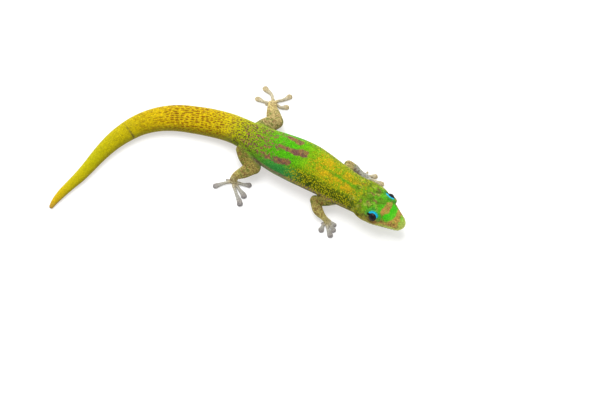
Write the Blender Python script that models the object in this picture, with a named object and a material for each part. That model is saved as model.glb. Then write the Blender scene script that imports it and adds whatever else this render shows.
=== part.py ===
# Gold dust day gecko, life size, resting on level ground with its tail curved back behind it.
# Lengths are in millimetres on one grid and become metres where a mesh is made. X runs along the
# animal towards the snout, Y across it to its left, Z up, and the ground is at zero.
import math

import bmesh
import bpy
import numpy as np
from mathutils import Matrix, Vector

MM = 0.001
MIDDLE = (-0.49, -0.13)  # middle of the outline on the grid; it becomes the origin
GAP = 0.3  # clear space between neighbouring pieces
ROUND_RINGS = 4  # rings that round off a free end

TRUNK_SIDES = 24
TAIL_SIDES = 20
HEAD_SIDES = 32
LIMB_SIDES = 14
TOE_SIDES = 12

# Distances from the tail tip at which the spine is parted.
TAIL_CUTS = (17.0, 34.5, 52.0)
TAIL_END = 69.5  # just in front of the vent
NECK_START = 110.3
NECK_END = 115.0

EYE_FORWARD = 5.9  # from the back of the skull
EYE_OUT = 3.9
EYE_UP = 1.6
EYE_RADIUS = 1.45
EYE_OPENING = 1.29
SOCKET_RADIUS = EYE_RADIUS + 0.25
BROW_RADII = (2.4, 2.15, 2.15)  # along the head, across and up
LID_DEPTH = 1.1  # from the middle of the eye out to the rim of the lids
LID_THICKNESS = 0.2
LID_RIM_OUT = 0.06  # the roll of the rim lies this far outside the flat face of the brow
GAZE = (0.12, 0.85, 0.5)  # direction of the left eye: forward, out, up

MOUTH_ANGLE = 3.2  # the corner of the mouth, from the back of the skull
LIP_RADIUS = 0.32
LIP_SINK = 0.04  # share of the way from the surface to the middle of the head
NOSTRIL_RADIUS = 0.28
NOSTRIL_PLACE = (13.1, 0.45)  # forward of the back of the skull, and up
EAR_RADII = (0.62, 0.6, 0.4)
EAR_PLACE = (1.6, 0.1)

SHAFT_HALF = 0.43  # half width of a toe behind its pad
PAD_HALF = 0.84
PAD_HEIGHT = 0.85
PAD_MIDDLE = 0.48  # height of the middle of a pad above the ground
PRESS = 1.1  # a pad is this much deeper below its middle than that, so it presses a flat

# Sections of the spine: x, y, height of the centre, half width, height above, height below.
# The tail is a little deeper below its centre than the centre is high, so it lies on a flat.
SPINE = [
    (-53.3, -16.9, 0.42, 0.60, 0.50, 0.46),
    (-52.3, -15.1, 0.75, 0.95, 0.80, 0.80),
    (-50.4, -12.5, 1.10, 1.30, 1.10, 1.16),
    (-47.8, -9.5, 1.30, 1.50, 1.30, 1.37),
    (-45.1, -6.6, 1.55, 1.75, 1.50, 1.63),
    (-42.5, -3.3, 1.75, 1.95, 1.70, 1.83),
    (-40.1, 0.0, 1.95, 2.20, 1.90, 2.04),
    (-37.7, 3.0, 2.15, 2.45, 2.10, 2.24),
    (-35.1, 5.8, 2.35, 2.75, 2.25, 2.45),
    (-32.2, 8.3, 2.50, 3.05, 2.40, 2.60),
    (-27.1, 11.5, 2.70, 3.50, 2.60, 2.81),
    (-21.6, 13.2, 2.90, 3.95, 2.85, 3.02),
    (-16.1, 13.5, 3.10, 4.30, 3.05, 3.22),
    (-10.5, 12.7, 3.25, 4.45, 3.20, 3.38),
    (-4.9, 11.4, 3.45, 4.50, 3.35, 3.58),
    (0.4, 9.4, 3.90, 4.45, 3.60, 3.65),
    (3.4, 7.6, 4.50, 4.45, 3.70, 3.70),
    (7.1, 4.9, 5.15, 4.80, 4.00, 3.85),
    (10.0, 2.7, 5.60, 5.45, 4.50, 4.35),
    (12.8, 0.7, 5.95, 6.10, 4.95, 4.75),
    (15.9, -1.2, 6.20, 6.60, 5.25, 5.00),
    (19.2, -3.0, 6.40, 6.90, 5.45, 5.20),
    (21.6, -4.3, 6.45, 7.00, 5.50, 5.25),
    (23.9, -5.6, 6.45, 6.95, 5.50, 5.25),
    (26.2, -7.1, 6.40, 6.75, 5.40, 5.15),
    (28.6, -8.7, 6.30, 6.45, 5.20, 4.95),
    (31.4, -10.7, 6.20, 6.10, 5.00, 4.70),
    (33.8, -12.4, 6.15, 5.85, 4.75, 4.45),
    (36.0, -13.9, 6.15, 5.65, 4.50, 4.15),
    (38.3, -15.3, 6.30, 5.60, 4.35, 3.95),
]
SPINE_SQUARE = (2.0, 2.3)  # squareness of the sections above and below

# The head, from the back of the skull to the snout.
SKULL = (40.95, -16.85, 6.4)
SNOUT = (52.2, -25.9, 5.0)
# Distance forward, half width, height above, height below, squareness above and below.
HEAD = [
    (0.0, 5.80, 4.20, 3.75, 2.0, 2.4),
    (1.5, 6.00, 4.25, 3.75, 2.0, 2.5),
    (3.0, 5.95, 4.20, 3.65, 2.0, 2.6),
    (4.5, 5.60, 4.05, 3.50, 2.0, 2.6),
    (6.0, 5.15, 3.75, 3.25, 2.0, 2.6),
    (7.5, 4.55, 3.30, 2.95, 2.1, 2.6),
    (9.0, 3.90, 2.80, 2.65, 2.2, 2.5),
    (10.5, 3.25, 2.40, 2.30, 2.2, 2.5),
    (12.0, 2.65, 2.05, 1.95, 2.2, 2.4),
    (13.2, 2.15, 1.75, 1.65, 2.2, 2.3),
    (14.5, 1.85, 1.50, 1.40, 2.2, 2.2),
]
SNOUT_ROUND = 1.6

# The line of the mouth in side view: distance forward, height above the middle line of the head.
MOUTH = [
    (MOUTH_ANGLE, -0.75),
    (4.4, -1.0),
    (6.0, -1.1),
    (8.0, -1.0),
    (10.0, -0.85),
    (12.0, -0.65),
    (13.4, -0.5),
]
MOUTH_TIP_HEIGHT = -0.45

# Limbs: sections as for the spine, from the root to the knee or elbow, then on to the palm or sole.
# Toes: their bends from the palm outwards, with the last point at the tip.
LIMBS = {
    "left_hind": {
        "names": ("thigh_left", "shank_left", "foot_left"),
        "upper": [(7.8, 6.6, 4.6, 2.8, 2.2, 2.1), (10.9, 9.4, 4.5, 2.8, 2.1, 2.0),
                  (14.0, 11.4, 4.1, 2.4, 1.85, 1.85)],
        "lower": [(14.0, 11.4, 4.1, 2.4, 1.85, 1.85), (13.3, 14.8, 3.0, 2.15, 1.6, 1.6),
                  (12.9, 18.4, 1.7, 1.45, 1.0, 1.1), (13.1, 20.5, 0.8, 1.35, 0.6, 0.8)],
        "toes": [[(12.3, 20.2), (10.5, 20.95), (8.6, 22.0), (7.7, 22.6)],
                 [(13.3, 20.7), (12.7, 23.5), (10.9, 25.6), (10.2, 26.6)],
                 [(13.9, 20.9), (15.9, 21.5), (18.0, 22.7), (18.9, 23.4)],
                 [(13.9, 19.9), (15.4, 18.9), (17.1, 19.0), (18.1, 19.3)]],
        "inner_toe": [(12.5, 19.9), (11.6, 20.0), (11.0, 20.1)],
    },
    "right_hind": {
        "names": ("thigh_right", "shank_right", "foot_right"),
        "upper": [(4.5, 3.0, 4.6, 2.8, 2.2, 2.1), (5.6, -1.2, 4.5, 2.75, 2.1, 2.0),
                  (7.4, -4.7, 4.1, 2.3, 1.85, 1.85)],
        "lower": [(7.4, -4.7, 4.1, 2.3, 1.85, 1.85), (4.6, -5.9, 3.1, 1.9, 1.6, 1.6),
                  (1.8, -6.9, 1.8, 1.2, 1.0, 1.1), (1.3, -7.8, 0.8, 1.25, 0.6, 0.8)],
        "toes": [[(0.6, -7.7), (-1.7, -8.3), (-3.9, -9.1), (-4.8, -9.3)],
                 [(1.4, -8.8), (2.3, -11.8), (3.4, -14.9), (3.6, -16.2)],
                 [(2.1, -8.7), (3.3, -10.5), (4.5, -12.3), (4.9, -13.5)],
                 [(2.4, -8.2), (4.5, -8.7), (6.1, -8.9), (6.9, -9.1)]],
        "inner_toe": [(0.8, -7.4), (0.0, -7.1), (-0.6, -6.9)],
    },
    "right_front": {
        "names": ("upper_arm_right", "forearm_right", "hand_right"),
        "upper": [(33.2, -15.6, 4.6, 2.0, 1.8, 1.8), (29.2, -16.3, 4.2, 1.8, 1.6, 1.6),
                  (26.0, -16.1, 3.8, 1.5, 1.4, 1.4)],
        "lower": [(26.0, -16.1, 3.8, 1.5, 1.4, 1.4), (26.9, -18.9, 2.7, 1.55, 1.25, 1.25),
                  (29.0, -21.2, 1.5, 0.9, 0.8, 0.85), (30.0, -22.1, 0.75, 1.15, 0.55, 0.75)],
        "toes": [[(29.1, -22.2), (28.2, -23.2), (27.9, -24.1), (27.9, -25.2)],
                 [(29.6, -22.7), (29.9, -24.4), (30.4, -25.9), (30.6, -27.0)],
                 [(30.2, -22.5), (30.9, -23.5), (31.4, -24.4), (31.5, -25.2)],
                 [(30.3, -21.9), (31.1, -22.1), (31.6, -22.7), (31.8, -23.4)]],
        "inner_toe": [(29.4, -21.9), (28.7, -22.0), (28.1, -22.1)],
    },
    "left_front": {
        "names": ("upper_arm_left", "forearm_left", "hand_left"),
        "upper": [(35.2, -9.6, 4.9, 2.0, 1.8, 1.8), (35.9, -6.2, 4.3, 1.7, 1.55, 1.55),
                  (36.2, -3.7, 3.7, 1.4, 1.35, 1.35)],
        "lower": [(36.2, -3.7, 3.7, 1.4, 1.35, 1.35), (38.0, -4.4, 2.7, 1.35, 1.2, 1.2),
                  (40.1, -5.5, 1.5, 0.9, 0.8, 0.85), (41.4, -6.3, 0.75, 1.15, 0.55, 0.75)],
        "toes": [[(41.8, -6.0), (43.0, -5.8), (44.1, -5.8), (45.0, -5.9)],
                 [(42.1, -6.6), (44.1, -7.6), (45.9, -8.4), (46.8, -8.9)],
                 [(41.8, -6.9), (42.8, -8.4), (43.5, -9.8), (44.1, -10.8)],
                 [(41.4, -7.1), (41.4, -8.7), (41.1, -9.9), (40.9, -10.8)]],
        "inner_toe": [(41.3, -5.6), (41.6, -4.9), (41.9, -4.3)],
    },
}

# Looks of the pieces: colour, roughness.
LOOKS = {
    "skin_green": ((0.20, 0.42, 0.04), 0.45),
    "skin_gold": ((0.46, 0.38, 0.03), 0.45),
    "skin_tail": ((0.48, 0.36, 0.01), 0.45),
    "skin_limb": ((0.32, 0.25, 0.13), 0.55),
    "eye": ((0.01, 0.01, 0.018), 0.08),
}


def grid(point):
    """A point in millimetres on the grid as a vector in metres from the origin."""
    return Vector((point[0] - MIDDLE[0], point[1] - MIDDLE[1], point[2])) * MM


def side_frame(direction):
    """The directions to the left of a heading and up from it."""
    left = np.array([-direction[1], direction[0], 0.0])
    left /= np.linalg.norm(left)
    return left, np.cross(direction, left)


class Path:
    """Sections along a bent line, read at any distance by cubic interpolation."""

    def __init__(self, rows, square=(2.0, 2.0)):
        rows = [tuple(row) if len(row) > 6 else (*row, *square) for row in rows]
        self.rows = np.array(rows, float)
        steps = np.linalg.norm(np.diff(self.rows[:, :3], axis=0), axis=1)
        self.marks = np.concatenate([[0.0], np.cumsum(steps)])
        self.length = self.marks[-1]
        self.slopes = np.gradient(self.rows, self.marks, axis=0)

    def piece(self, distance):
        inside = min(max(distance, 0.0), self.length)
        index = min(int(np.searchsorted(self.marks, inside, side="right")) - 1, len(self.marks) - 2)
        span = self.marks[index + 1] - self.marks[index]
        return index, span, (inside - self.marks[index]) / span, distance - inside

    def direction(self, distance):
        index, span, t, _ = self.piece(distance)
        first, second = self.rows[index, :3], self.rows[index + 1, :3]
        slope_a, slope_b = self.slopes[index, :3] * span, self.slopes[index + 1, :3] * span
        along = (6 * t * t - 6 * t) * (first - second)
        along += (3 * t * t - 4 * t + 1) * slope_a + (3 * t * t - 2 * t) * slope_b
        return along / np.linalg.norm(along)

    def section(self, distance):
        index, span, t, beyond = self.piece(distance)
        row = (2 * t ** 3 - 3 * t * t + 1) * self.rows[index]
        row = row + (t ** 3 - 2 * t * t + t) * span * self.slopes[index]
        row = row + (3 * t * t - 2 * t ** 3) * self.rows[index + 1]
        row = row + (t ** 3 - t * t) * span * self.slopes[index + 1]
        row[:3] += beyond * self.direction(distance)
        return row

    def ring(self, distance, sides, share=1.0, grow=0.0):
        """Points round the section; none lies below the ground."""
        x, y, z, half, above, below, square_above, square_below = self.section(distance)
        left, up = side_frame(self.direction(distance))
        points = []
        for k in range(sides):
            turn = 2 * math.pi * (k + 0.5) / sides
            across, rise = math.cos(turn), math.sin(turn)
            power = 2.0 / (square_above if rise > 0 else square_below)
            height = above if rise > 0 else below
            across = math.copysign(abs(across) ** power, across) * (half * share + grow)
            rise = math.copysign(abs(rise) ** power, rise) * (height * share + grow)
            point = np.array([x, y, z]) + left * across + up * rise
            point[2] = max(point[2], -grow)
            points.append(point)
        return points


def ring_places(start, end, step, round_start, round_end):
    """Distances of the rings of a loft, each with its share of the full size."""
    angles = [0.5 * math.pi * i / ROUND_RINGS for i in range(ROUND_RINGS)]
    places = []
    if round_start:
        places += [(start + round_start * (1 - math.cos(a)), math.sin(a)) for a in angles]
    first, last = start + round_start, end - round_end
    count = max(1, round((last - first) / step))
    places += [(first + (last - first) * i / count, 1.0) for i in range(count + 1)]
    if round_end:
        places += [(end - round_end * (1 - math.cos(a)), math.sin(a)) for a in reversed(angles)]
    return places


def new_object(name, mesh, collection):
    obj = bpy.data.objects.new(name, mesh)
    collection.objects.link(obj)
    return obj


def loft(name, path, start, end, sides, step, round_start=0.0, round_end=0.0, grow=0.0):
    """A closed skin over the sections of a path, flat or rounded at each end."""
    form = bmesh.new()
    origin = grid(path.section(start))
    rings = []
    for distance, share in ring_places(start, end, step, round_start, round_end):
        if share > 0:
            points = path.ring(distance, sides, share, grow)
        else:
            points = [path.section(distance)[:3]]
        rings.append([form.verts.new(grid(point) - origin) for point in points])
    for near, far in zip(rings, rings[1:]):
        for k in range(sides):
            corners = [near[k % len(near)], near[(k + 1) % len(near)],
                       far[(k + 1) % len(far)], far[k % len(far)]]
            form.faces.new(list(dict.fromkeys(corners)))
    for ring in (rings[0], rings[-1]):
        if len(ring) > 1:
            form.faces.new(ring)
    bmesh.ops.recalc_face_normals(form, faces=form.faces)
    obj = new_object(name, bpy.data.meshes.new(name), TOOLS)
    form.to_mesh(obj.data)
    form.free()
    obj.location = origin
    return obj


def ball(name, centre, radii, axes, rings=10):
    """An ellipsoid with its radii along three given axes."""
    form = bmesh.new()
    turn = Matrix([axes[0], axes[1], axes[2]]).transposed().to_4x4()
    size = Matrix.Diagonal([*(radius * MM for radius in radii), 1.0])
    bmesh.ops.create_uvsphere(form, u_segments=rings * 2, v_segments=rings, radius=1.0,
                              matrix=turn @ size)
    obj = new_object(name, bpy.data.meshes.new(name), TOOLS)
    form.to_mesh(obj.data)
    form.free()
    obj.location = grid(centre)
    return obj


def rod(name, start, end, radius, segments=30):
    """A straight round bar, used to open the lids and nostrils."""
    form = bmesh.new()
    line = Vector(end) - Vector(start)
    turn = line.to_track_quat("Z", "Y").to_matrix().to_4x4()
    bmesh.ops.create_cone(form, cap_ends=True, segments=segments, radius1=radius * MM,
                          radius2=radius * MM, depth=line.length * MM, matrix=turn)
    obj = new_object(name, bpy.data.meshes.new(name), TOOLS)
    form.to_mesh(obj.data)
    form.free()
    obj.location = grid((Vector(start) + Vector(end)) / 2)
    return obj


def torus(name, centre, axis, major, minor):
    """A ring about an axis, for the rim of the lids."""
    bpy.ops.mesh.primitive_torus_add(location=grid(centre), major_radius=major * MM,
                                     minor_radius=minor * MM, major_segments=24,
                                     minor_segments=8,
                                     rotation=Vector(axis).to_track_quat("Z", "Y").to_euler())
    obj = bpy.context.object
    obj.name = name
    for collection in list(obj.users_collection):
        collection.objects.unlink(obj)
    TOOLS.objects.link(obj)
    return obj


def keep_largest(obj):
    """Drops every closed surface of the mesh but the one that holds the most."""
    form = bmesh.new()
    form.from_mesh(obj.data)
    left = set(form.verts)
    bodies = []
    while left:
        body = {left.pop()}
        edge = list(body)
        while edge:
            edge = [e.other_vert(v) for v in edge for e in v.link_edges]
            edge = [v for v in dict.fromkeys(edge) if v in left]
            left.difference_update(edge)
            body.update(edge)
        bodies.append(body)

    def volume(body):
        faces = {face for vert in body for face in vert.link_faces}
        total = 0.0
        for face in faces:
            corners = [vert.co for vert in face.verts]
            for b, c in zip(corners[1:], corners[2:]):
                total += corners[0].dot(b.cross(c))
        return abs(total)

    bodies.sort(key=volume)
    for body in bodies[:-1]:
        bmesh.ops.delete(form, geom=list(body), context="VERTS")
    form.to_mesh(obj.data)
    form.free()


def combine(obj, operation, tools):
    """Joins the tools to an object, or cuts them from it, and removes them."""
    bpy.context.view_layer.update()
    group = bpy.data.collections.new("tools_in_use")
    bpy.context.scene.collection.children.link(group)
    for tool in tools:
        group.objects.link(tool)
    modifier = obj.modifiers.new(operation.title(), "BOOLEAN")
    modifier.operation = operation
    modifier.operand_type = "COLLECTION"
    modifier.collection = group
    modifier.solver = "EXACT"
    graph = bpy.context.evaluated_depsgraph_get()
    mesh = bpy.data.meshes.new_from_object(obj.evaluated_get(graph))
    obj.modifiers.clear()
    obj.data = mesh
    for tool in tools:
        bpy.data.objects.remove(tool)
    bpy.data.collections.remove(group)
    keep_largest(obj)
    return obj


def slice_off(obj, point, normal):
    """Removes what lies beyond a plane and closes the cut."""
    form = bmesh.new()
    form.from_mesh(obj.data)
    cut = bmesh.ops.bisect_plane(form, geom=[*form.verts, *form.edges, *form.faces],
                                 plane_co=grid(point) - obj.location, plane_no=Vector(normal),
                                 clear_outer=True)
    edges = [item for item in cut["geom_cut"] if isinstance(item, bmesh.types.BMEdge)]
    bmesh.ops.holes_fill(form, edges=edges)
    bmesh.ops.recalc_face_normals(form, faces=form.faces)
    form.to_mesh(obj.data)
    form.free()
    keep_largest(obj)
    return obj


def copy_of(obj, name):
    twin = new_object(name, obj.data.copy(), TOOLS)
    twin.location = obj.location
    return twin


def finish(obj, name, look):
    """Makes a finished solid one of the animal's parts, with its own material."""
    colour, roughness = LOOKS[look]
    material = bpy.data.materials.new(f"{name}_{look}")
    material.use_nodes = True
    shader = material.node_tree.nodes["Principled BSDF"]
    shader.inputs["Base Color"].default_value = (*colour, 1.0)
    shader.inputs["Roughness"].default_value = roughness
    shader.inputs["Metallic"].default_value = 0.0
    obj.data.materials.clear()
    obj.data.materials.append(material)
    obj.data.shade_smooth()
    obj.data.set_sharp_from_angle(angle=math.radians(50))
    obj.name = name
    obj.data.name = name
    TOOLS.objects.unlink(obj)
    PARTS.objects.link(obj)
    obj.parent = ROOT
    return obj


def head_axes():
    ahead = np.array(SNOUT) - np.array(SKULL)
    ahead /= np.linalg.norm(ahead)
    return ahead, *side_frame(ahead)


def head_point(forward, out, height):
    """A point given by its distances ahead of, left of and above the back of the skull."""
    ahead, left, up = head_axes()
    return np.array(SKULL) + ahead * forward + left * out + up * height


def head_half_width(forward, height):
    """Distance from the middle line of the head out to its surface at a height."""
    table = np.array(HEAD)
    half, above, below, square_above, square_below = (
        np.interp(forward, table[:, 0], table[:, k]) for k in range(1, 6))
    left_over = max(0.0, 1 - (table[-1, 0] - forward) / SNOUT_ROUND)
    share = math.sqrt(1 - left_over ** 2)
    level, power = (above, square_above) if height > 0 else (below, square_below)
    filled = min(1.0, abs(height) / max(level * share, 1e-6))
    return half * share * (1 - filled ** power) ** (1 / power)


def side_point(side, forward, height):
    """A point on the surface of the head, to the left for side 1 and to the right for side -1."""
    return head_point(forward, side * head_half_width(forward, height), height)


def build_spine():
    """The path from the tail tip to the snout."""
    rows = [(*row, *SPINE_SQUARE) for row in SPINE]
    for forward, half, above, below, square_above, square_below in HEAD:
        rows.append((*head_point(forward, 0, 0), half, above, below, square_above, square_below))
    return Path(rows)


def build_tail_and_trunk(spine):
    names = ("tail_tip", "tail_end", "tail_middle", "tail_root")
    cuts = (0.0, *TAIL_CUTS, TAIL_END)
    for name, start, end in zip(names, cuts, cuts[1:]):
        tip = 0.5 if start == 0 else 0.0
        near = start if start == 0 else start + GAP / 2
        piece = loft(name, spine, near, end - GAP / 2, TAIL_SIDES, 1.9, round_start=tip)
        finish(piece, name, "skin_tail")
    torso = loft("torso", spine, TAIL_END + GAP / 2, NECK_START - GAP / 2, TRUNK_SIDES, 1.6)
    finish(torso, "torso", "skin_green")
    neck = loft("neck", spine, NECK_START + GAP / 2, NECK_END - GAP / 2, TRUNK_SIDES, 1.2)
    finish(neck, "neck", "skin_gold")


def build_limb(spine, plan):
    upper_name, lower_name, end_name = plan["names"]
    upper, lower = Path(plan["upper"]), Path(plan["lower"])
    bend, bend_size = plan["upper"][-1][:3], plan["upper"][-1][3]
    wrist = np.array(plan["lower"][2][:3])
    wrist_heading = lower.direction(lower.marks[2])
    bend_heading = upper.direction(upper.length) + lower.direction(0.0)
    bend_heading /= np.linalg.norm(bend_heading)

    whole = loft("limb", upper, 0.0, upper.length + bend_size, LIMB_SIDES, 1.3,
                 round_start=1.2, round_end=bend_size)
    below = loft("limb_below", lower, -bend_size, lower.length + 0.9, LIMB_SIDES, 1.2,
                 round_start=bend_size, round_end=0.9)
    palm = copy_of(below, end_name)
    combine(whole, "UNION", [below])
    forearm = copy_of(whole, lower_name)

    trunk = loft("trunk_cutter", spine, TAIL_CUTS[-1], NECK_END, TRUNK_SIDES, 1.6, grow=GAP)
    slice_off(whole, np.array(bend) - bend_heading * GAP / 2, bend_heading)
    combine(whole, "DIFFERENCE", [trunk])
    finish(whole, upper_name, "skin_limb")

    slice_off(forearm, np.array(bend) + bend_heading * GAP / 2, -bend_heading)
    slice_off(forearm, wrist - wrist_heading * GAP / 2, wrist_heading)
    finish(forearm, lower_name, "skin_limb")

    slice_off(palm, wrist + wrist_heading * GAP / 2, -wrist_heading)
    toes = [build_toe(points) for points in plan["toes"]]
    toes.append(build_inner_toe(plan["inner_toe"]))
    combine(palm, "UNION", toes)
    finish(palm, end_name, "skin_limb")


def build_toe(points):
    """A slender toe that widens to a flat climbing pad near its tip."""
    base, bend, pad, tip = (np.array(point) for point in points)
    back = tip - (tip - pad) / np.linalg.norm(tip - pad) * PAD_HALF
    rows = [
        (*base, 0.75, 0.55, 0.45, 0.75),
        (*(base + bend) / 2, 0.72, SHAFT_HALF, 0.42, 0.60),
        (*bend, 0.62, SHAFT_HALF, 0.40, 0.60),
        (*pad, PAD_MIDDLE, 0.93 * PAD_HALF, PAD_HEIGHT - PAD_MIDDLE, PRESS * PAD_MIDDLE),
    ]
    if np.linalg.norm(back - pad) > 0.3:
        rows.append((*back, PAD_MIDDLE, PAD_HALF, PAD_HEIGHT - PAD_MIDDLE, PRESS * PAD_MIDDLE))
    path = Path(rows, (2.0, 2.6))
    reach = np.linalg.norm(tip - np.array(rows[-1][:2]))
    return loft("toe", path, 0.0, path.length + reach, TOE_SIDES, 0.9, round_start=0.4,
                round_end=PAD_HALF)


def build_inner_toe(points):
    """The tiny first toe, which has hardly any pad."""
    rows = [(x, y, z, half, 0.32, z) for (x, y), z, half in
            zip(points, (0.7, 0.5, 0.4), (0.42, 0.34, 0.42))]
    path = Path(rows, (2.0, 2.4))
    return loft("toe", path, 0.0, path.length + 0.3, TOE_SIDES - 2, 0.8, round_start=0.3,
                round_end=0.4)


def build_jaw_block(name, grow):
    """The space under the line of the mouth, as a plate cut out in side view."""
    corner = (MOUTH[0][0] - grow, MOUTH[0][1] + grow)
    line = [(forward, height + grow) for forward, height in MOUTH[1:]]
    outline = [corner, *line, (17.0, MOUTH_TIP_HEIGHT + grow), (17.0, -9.0), (0.9 - grow, -9.0),
               (1.5 - grow, -3.2)]
    form = bmesh.new()
    verts = [form.verts.new(grid(head_point(forward, -9.0, height)))
             for forward, height in outline]
    face = form.faces.new(verts)
    sweep = bmesh.ops.extrude_face_region(form, geom=[face])
    left = Vector(head_axes()[1]) * 18.0 * MM
    moved = [item for item in sweep["geom"] if isinstance(item, bmesh.types.BMVert)]
    bmesh.ops.translate(form, verts=moved, vec=left)
    bmesh.ops.recalc_face_normals(form, faces=form.faces)
    obj = new_object(name, bpy.data.meshes.new(name), TOOLS)
    form.to_mesh(obj.data)
    form.free()
    return obj


def build_lips():
    """One roll round the edge of the mouth, which the gap parts into two lips."""
    stations = [row for row in MOUTH if row[0] > MOUTH_ANGLE] + [(13.9, MOUTH_TIP_HEIGHT)]
    right = [side_point(-1, *station) for station in stations]
    left = [side_point(1, *station) for station in reversed(stations)]
    front = head_point(HEAD[-1][0] - 0.2, 0.0, MOUTH_TIP_HEIGHT)
    inside = head_point(8.0, 0.0, 0.0)
    rows = []
    for point in (*right, front, *left):
        centre = point + (inside - point) * LIP_SINK
        rows.append((*centre, LIP_RADIUS, LIP_RADIUS * 1.35, LIP_RADIUS * 1.35))
    path = Path(rows)
    return loft("lips", path, 0.0, path.length, 8, 0.9, round_start=0.6, round_end=0.6)


def build_head(spine):
    axes = head_axes()
    tip = spine.length
    head = loft("head", spine, NECK_END + GAP / 2, tip, HEAD_SIDES, 0.9, round_end=SNOUT_ROUND)
    additions = [build_lips()]
    cutters = [build_jaw_block("jaw_cutter", GAP)]
    for side, name in ((1, "left"), (-1, "right")):
        eye = head_point(EYE_FORWARD, side * EYE_OUT, EYE_UP)
        gaze = axes[0] * GAZE[0] + axes[1] * GAZE[1] * side + axes[2] * GAZE[2]
        gaze /= np.linalg.norm(gaze)
        brow = ball("brow", eye, BROW_RADII, axes)
        additions.append(slice_off(brow, eye + gaze * LID_DEPTH, gaze))
        additions.append(torus("lid_rim", eye + gaze * (LID_DEPTH + LID_RIM_OUT), gaze,
                               EYE_OPENING + 0.8 * LID_THICKNESS, LID_THICKNESS))
        cutters.append(ball("socket", eye, [SOCKET_RADIUS] * 3, axes))
        cutters.append(rod("lid_opening", eye, eye + gaze * 4, EYE_OPENING))
        nostril = side_point(side, *NOSTRIL_PLACE)
        cutters.append(ball("nostril", nostril, [NOSTRIL_RADIUS] * 3, axes, 6))
        ear = side_point(side, *EAR_PLACE)
        cutters.append(ball("ear", ear, EAR_RADII, axes, 6))
        eyeball = ball(f"eye_{name}", eye, [EYE_RADIUS] * 3, axes, 12)
        finish(eyeball, f"eye_{name}", "eye")
    combine(head, "UNION", additions)
    jaw = copy_of(head, "jaw")
    for cutter in cutters:
        combine(head, "DIFFERENCE", [cutter])
    finish(head, "head", "skin_green")

    upper = build_jaw_block("upper_cutter", 0.0)
    keep_below(jaw, upper)
    finish(jaw, "jaw", "skin_gold")


def keep_below(jaw, block):
    """Keeps the part of the jaw inside a block."""
    bpy.context.view_layer.update()
    modifier = jaw.modifiers.new("Intersect", "BOOLEAN")
    modifier.operation = "INTERSECT"
    modifier.object = block
    modifier.solver = "EXACT"
    graph = bpy.context.evaluated_depsgraph_get()
    mesh = bpy.data.meshes.new_from_object(jaw.evaluated_get(graph))
    jaw.modifiers.clear()
    jaw.data = mesh
    bpy.data.objects.remove(block)
    keep_largest(jaw)


for old in list(bpy.data.objects):
    bpy.data.objects.remove(old)
PARTS = bpy.data.collections.new("gold_dust_day_gecko")
TOOLS = bpy.data.collections.new("gecko_tools")
bpy.context.scene.collection.children.link(PARTS)
bpy.context.scene.collection.children.link(TOOLS)
ROOT = bpy.data.objects.new("gecko", None)
PARTS.objects.link(ROOT)

backbone = build_spine()
build_tail_and_trunk(backbone)
build_head(backbone)
for limb in LIMBS.values():
    build_limb(backbone, limb)
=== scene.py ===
# %% [markdown]
# # A gold dust day gecko at life size
# The animal is about 130 mm long along its bends. Its solids come from model.glb; this script dresses
# them: one skin without seams, a coat of small solid scales, and glossy eyes.
# Lengths are worked out in millimetres on the grid that the solids use, and become metres at the end.

import math
from types import SimpleNamespace

import bpy
import numpy as np
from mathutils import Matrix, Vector
from mathutils.bvhtree import BVHTree
from mathutils.kdtree import KDTree


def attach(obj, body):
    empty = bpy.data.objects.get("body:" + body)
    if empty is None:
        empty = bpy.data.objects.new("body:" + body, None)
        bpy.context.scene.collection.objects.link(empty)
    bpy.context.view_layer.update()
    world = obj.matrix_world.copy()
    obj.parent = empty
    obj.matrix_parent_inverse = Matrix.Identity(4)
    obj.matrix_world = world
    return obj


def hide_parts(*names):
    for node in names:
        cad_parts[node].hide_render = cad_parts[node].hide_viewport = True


MM = 0.001
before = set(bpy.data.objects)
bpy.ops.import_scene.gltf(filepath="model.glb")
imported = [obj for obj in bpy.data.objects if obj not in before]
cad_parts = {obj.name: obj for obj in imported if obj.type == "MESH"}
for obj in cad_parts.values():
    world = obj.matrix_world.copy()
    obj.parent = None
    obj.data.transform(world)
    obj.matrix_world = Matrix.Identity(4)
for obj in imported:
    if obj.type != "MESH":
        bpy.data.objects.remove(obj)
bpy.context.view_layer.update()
print("solids loaded:", len(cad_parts))

# %% [markdown]
# ## The camera
# The photograph looks steeply down on the animal from its right side. A long lens keeps its
# proportions. The camera could be placed by eye, but working back from one point of the floor and
# one angle keeps it exact and easy to check.

# %% Camera
CAMERA_RISE = 60.0  # degrees above the floor
CAMERA_DISTANCE = 0.6
CAMERA_LENS = 117.6
LOOK_AT = Vector((0.02379, -0.01487, 0.0))


def add_object(name, data):
    """A new object in the scene round a mesh, a lamp or a camera."""
    obj = bpy.data.objects.new(name, data)
    bpy.context.scene.collection.objects.link(obj)
    return obj


def add_camera():
    rise = math.radians(CAMERA_RISE)
    away = Vector((0.0, -math.cos(rise), math.sin(rise)))
    data = bpy.data.cameras.new("photo_camera")
    data.lens = CAMERA_LENS
    data.sensor_width = 36.0
    data.clip_start = 0.01
    camera = add_object("photo_camera", data)
    camera.location = LOOK_AT + away * CAMERA_DISTANCE
    camera.rotation_euler = away.to_track_quat("Z", "Y").to_euler()
    bpy.context.scene.camera = camera


add_camera()
print("camera set", CAMERA_RISE, "degrees above the floor")

# %% [markdown]
# ## The light and the floor
# The photograph has a white ground that is almost free of shadow, with a soft light from behind and
# to the left. Large lamps, a bright sky and a floor that glows a little, like a light table, give
# such shadows. A sun would make them hard.

# %% Light
SKY_STRENGTH = 0.72
WHITE = (1.0, 1.0, 1.0, 1.0)
# The place of each lamp, how wide it is and its power: one overhead, one low behind on the left.
LAMPS = {"key": (Vector((-0.12, 0.26, 1.0)), 0.8, 9.0),
         "rim": (Vector((-0.5, 1.1, 0.55)), 0.5, 12.0)}


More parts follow.
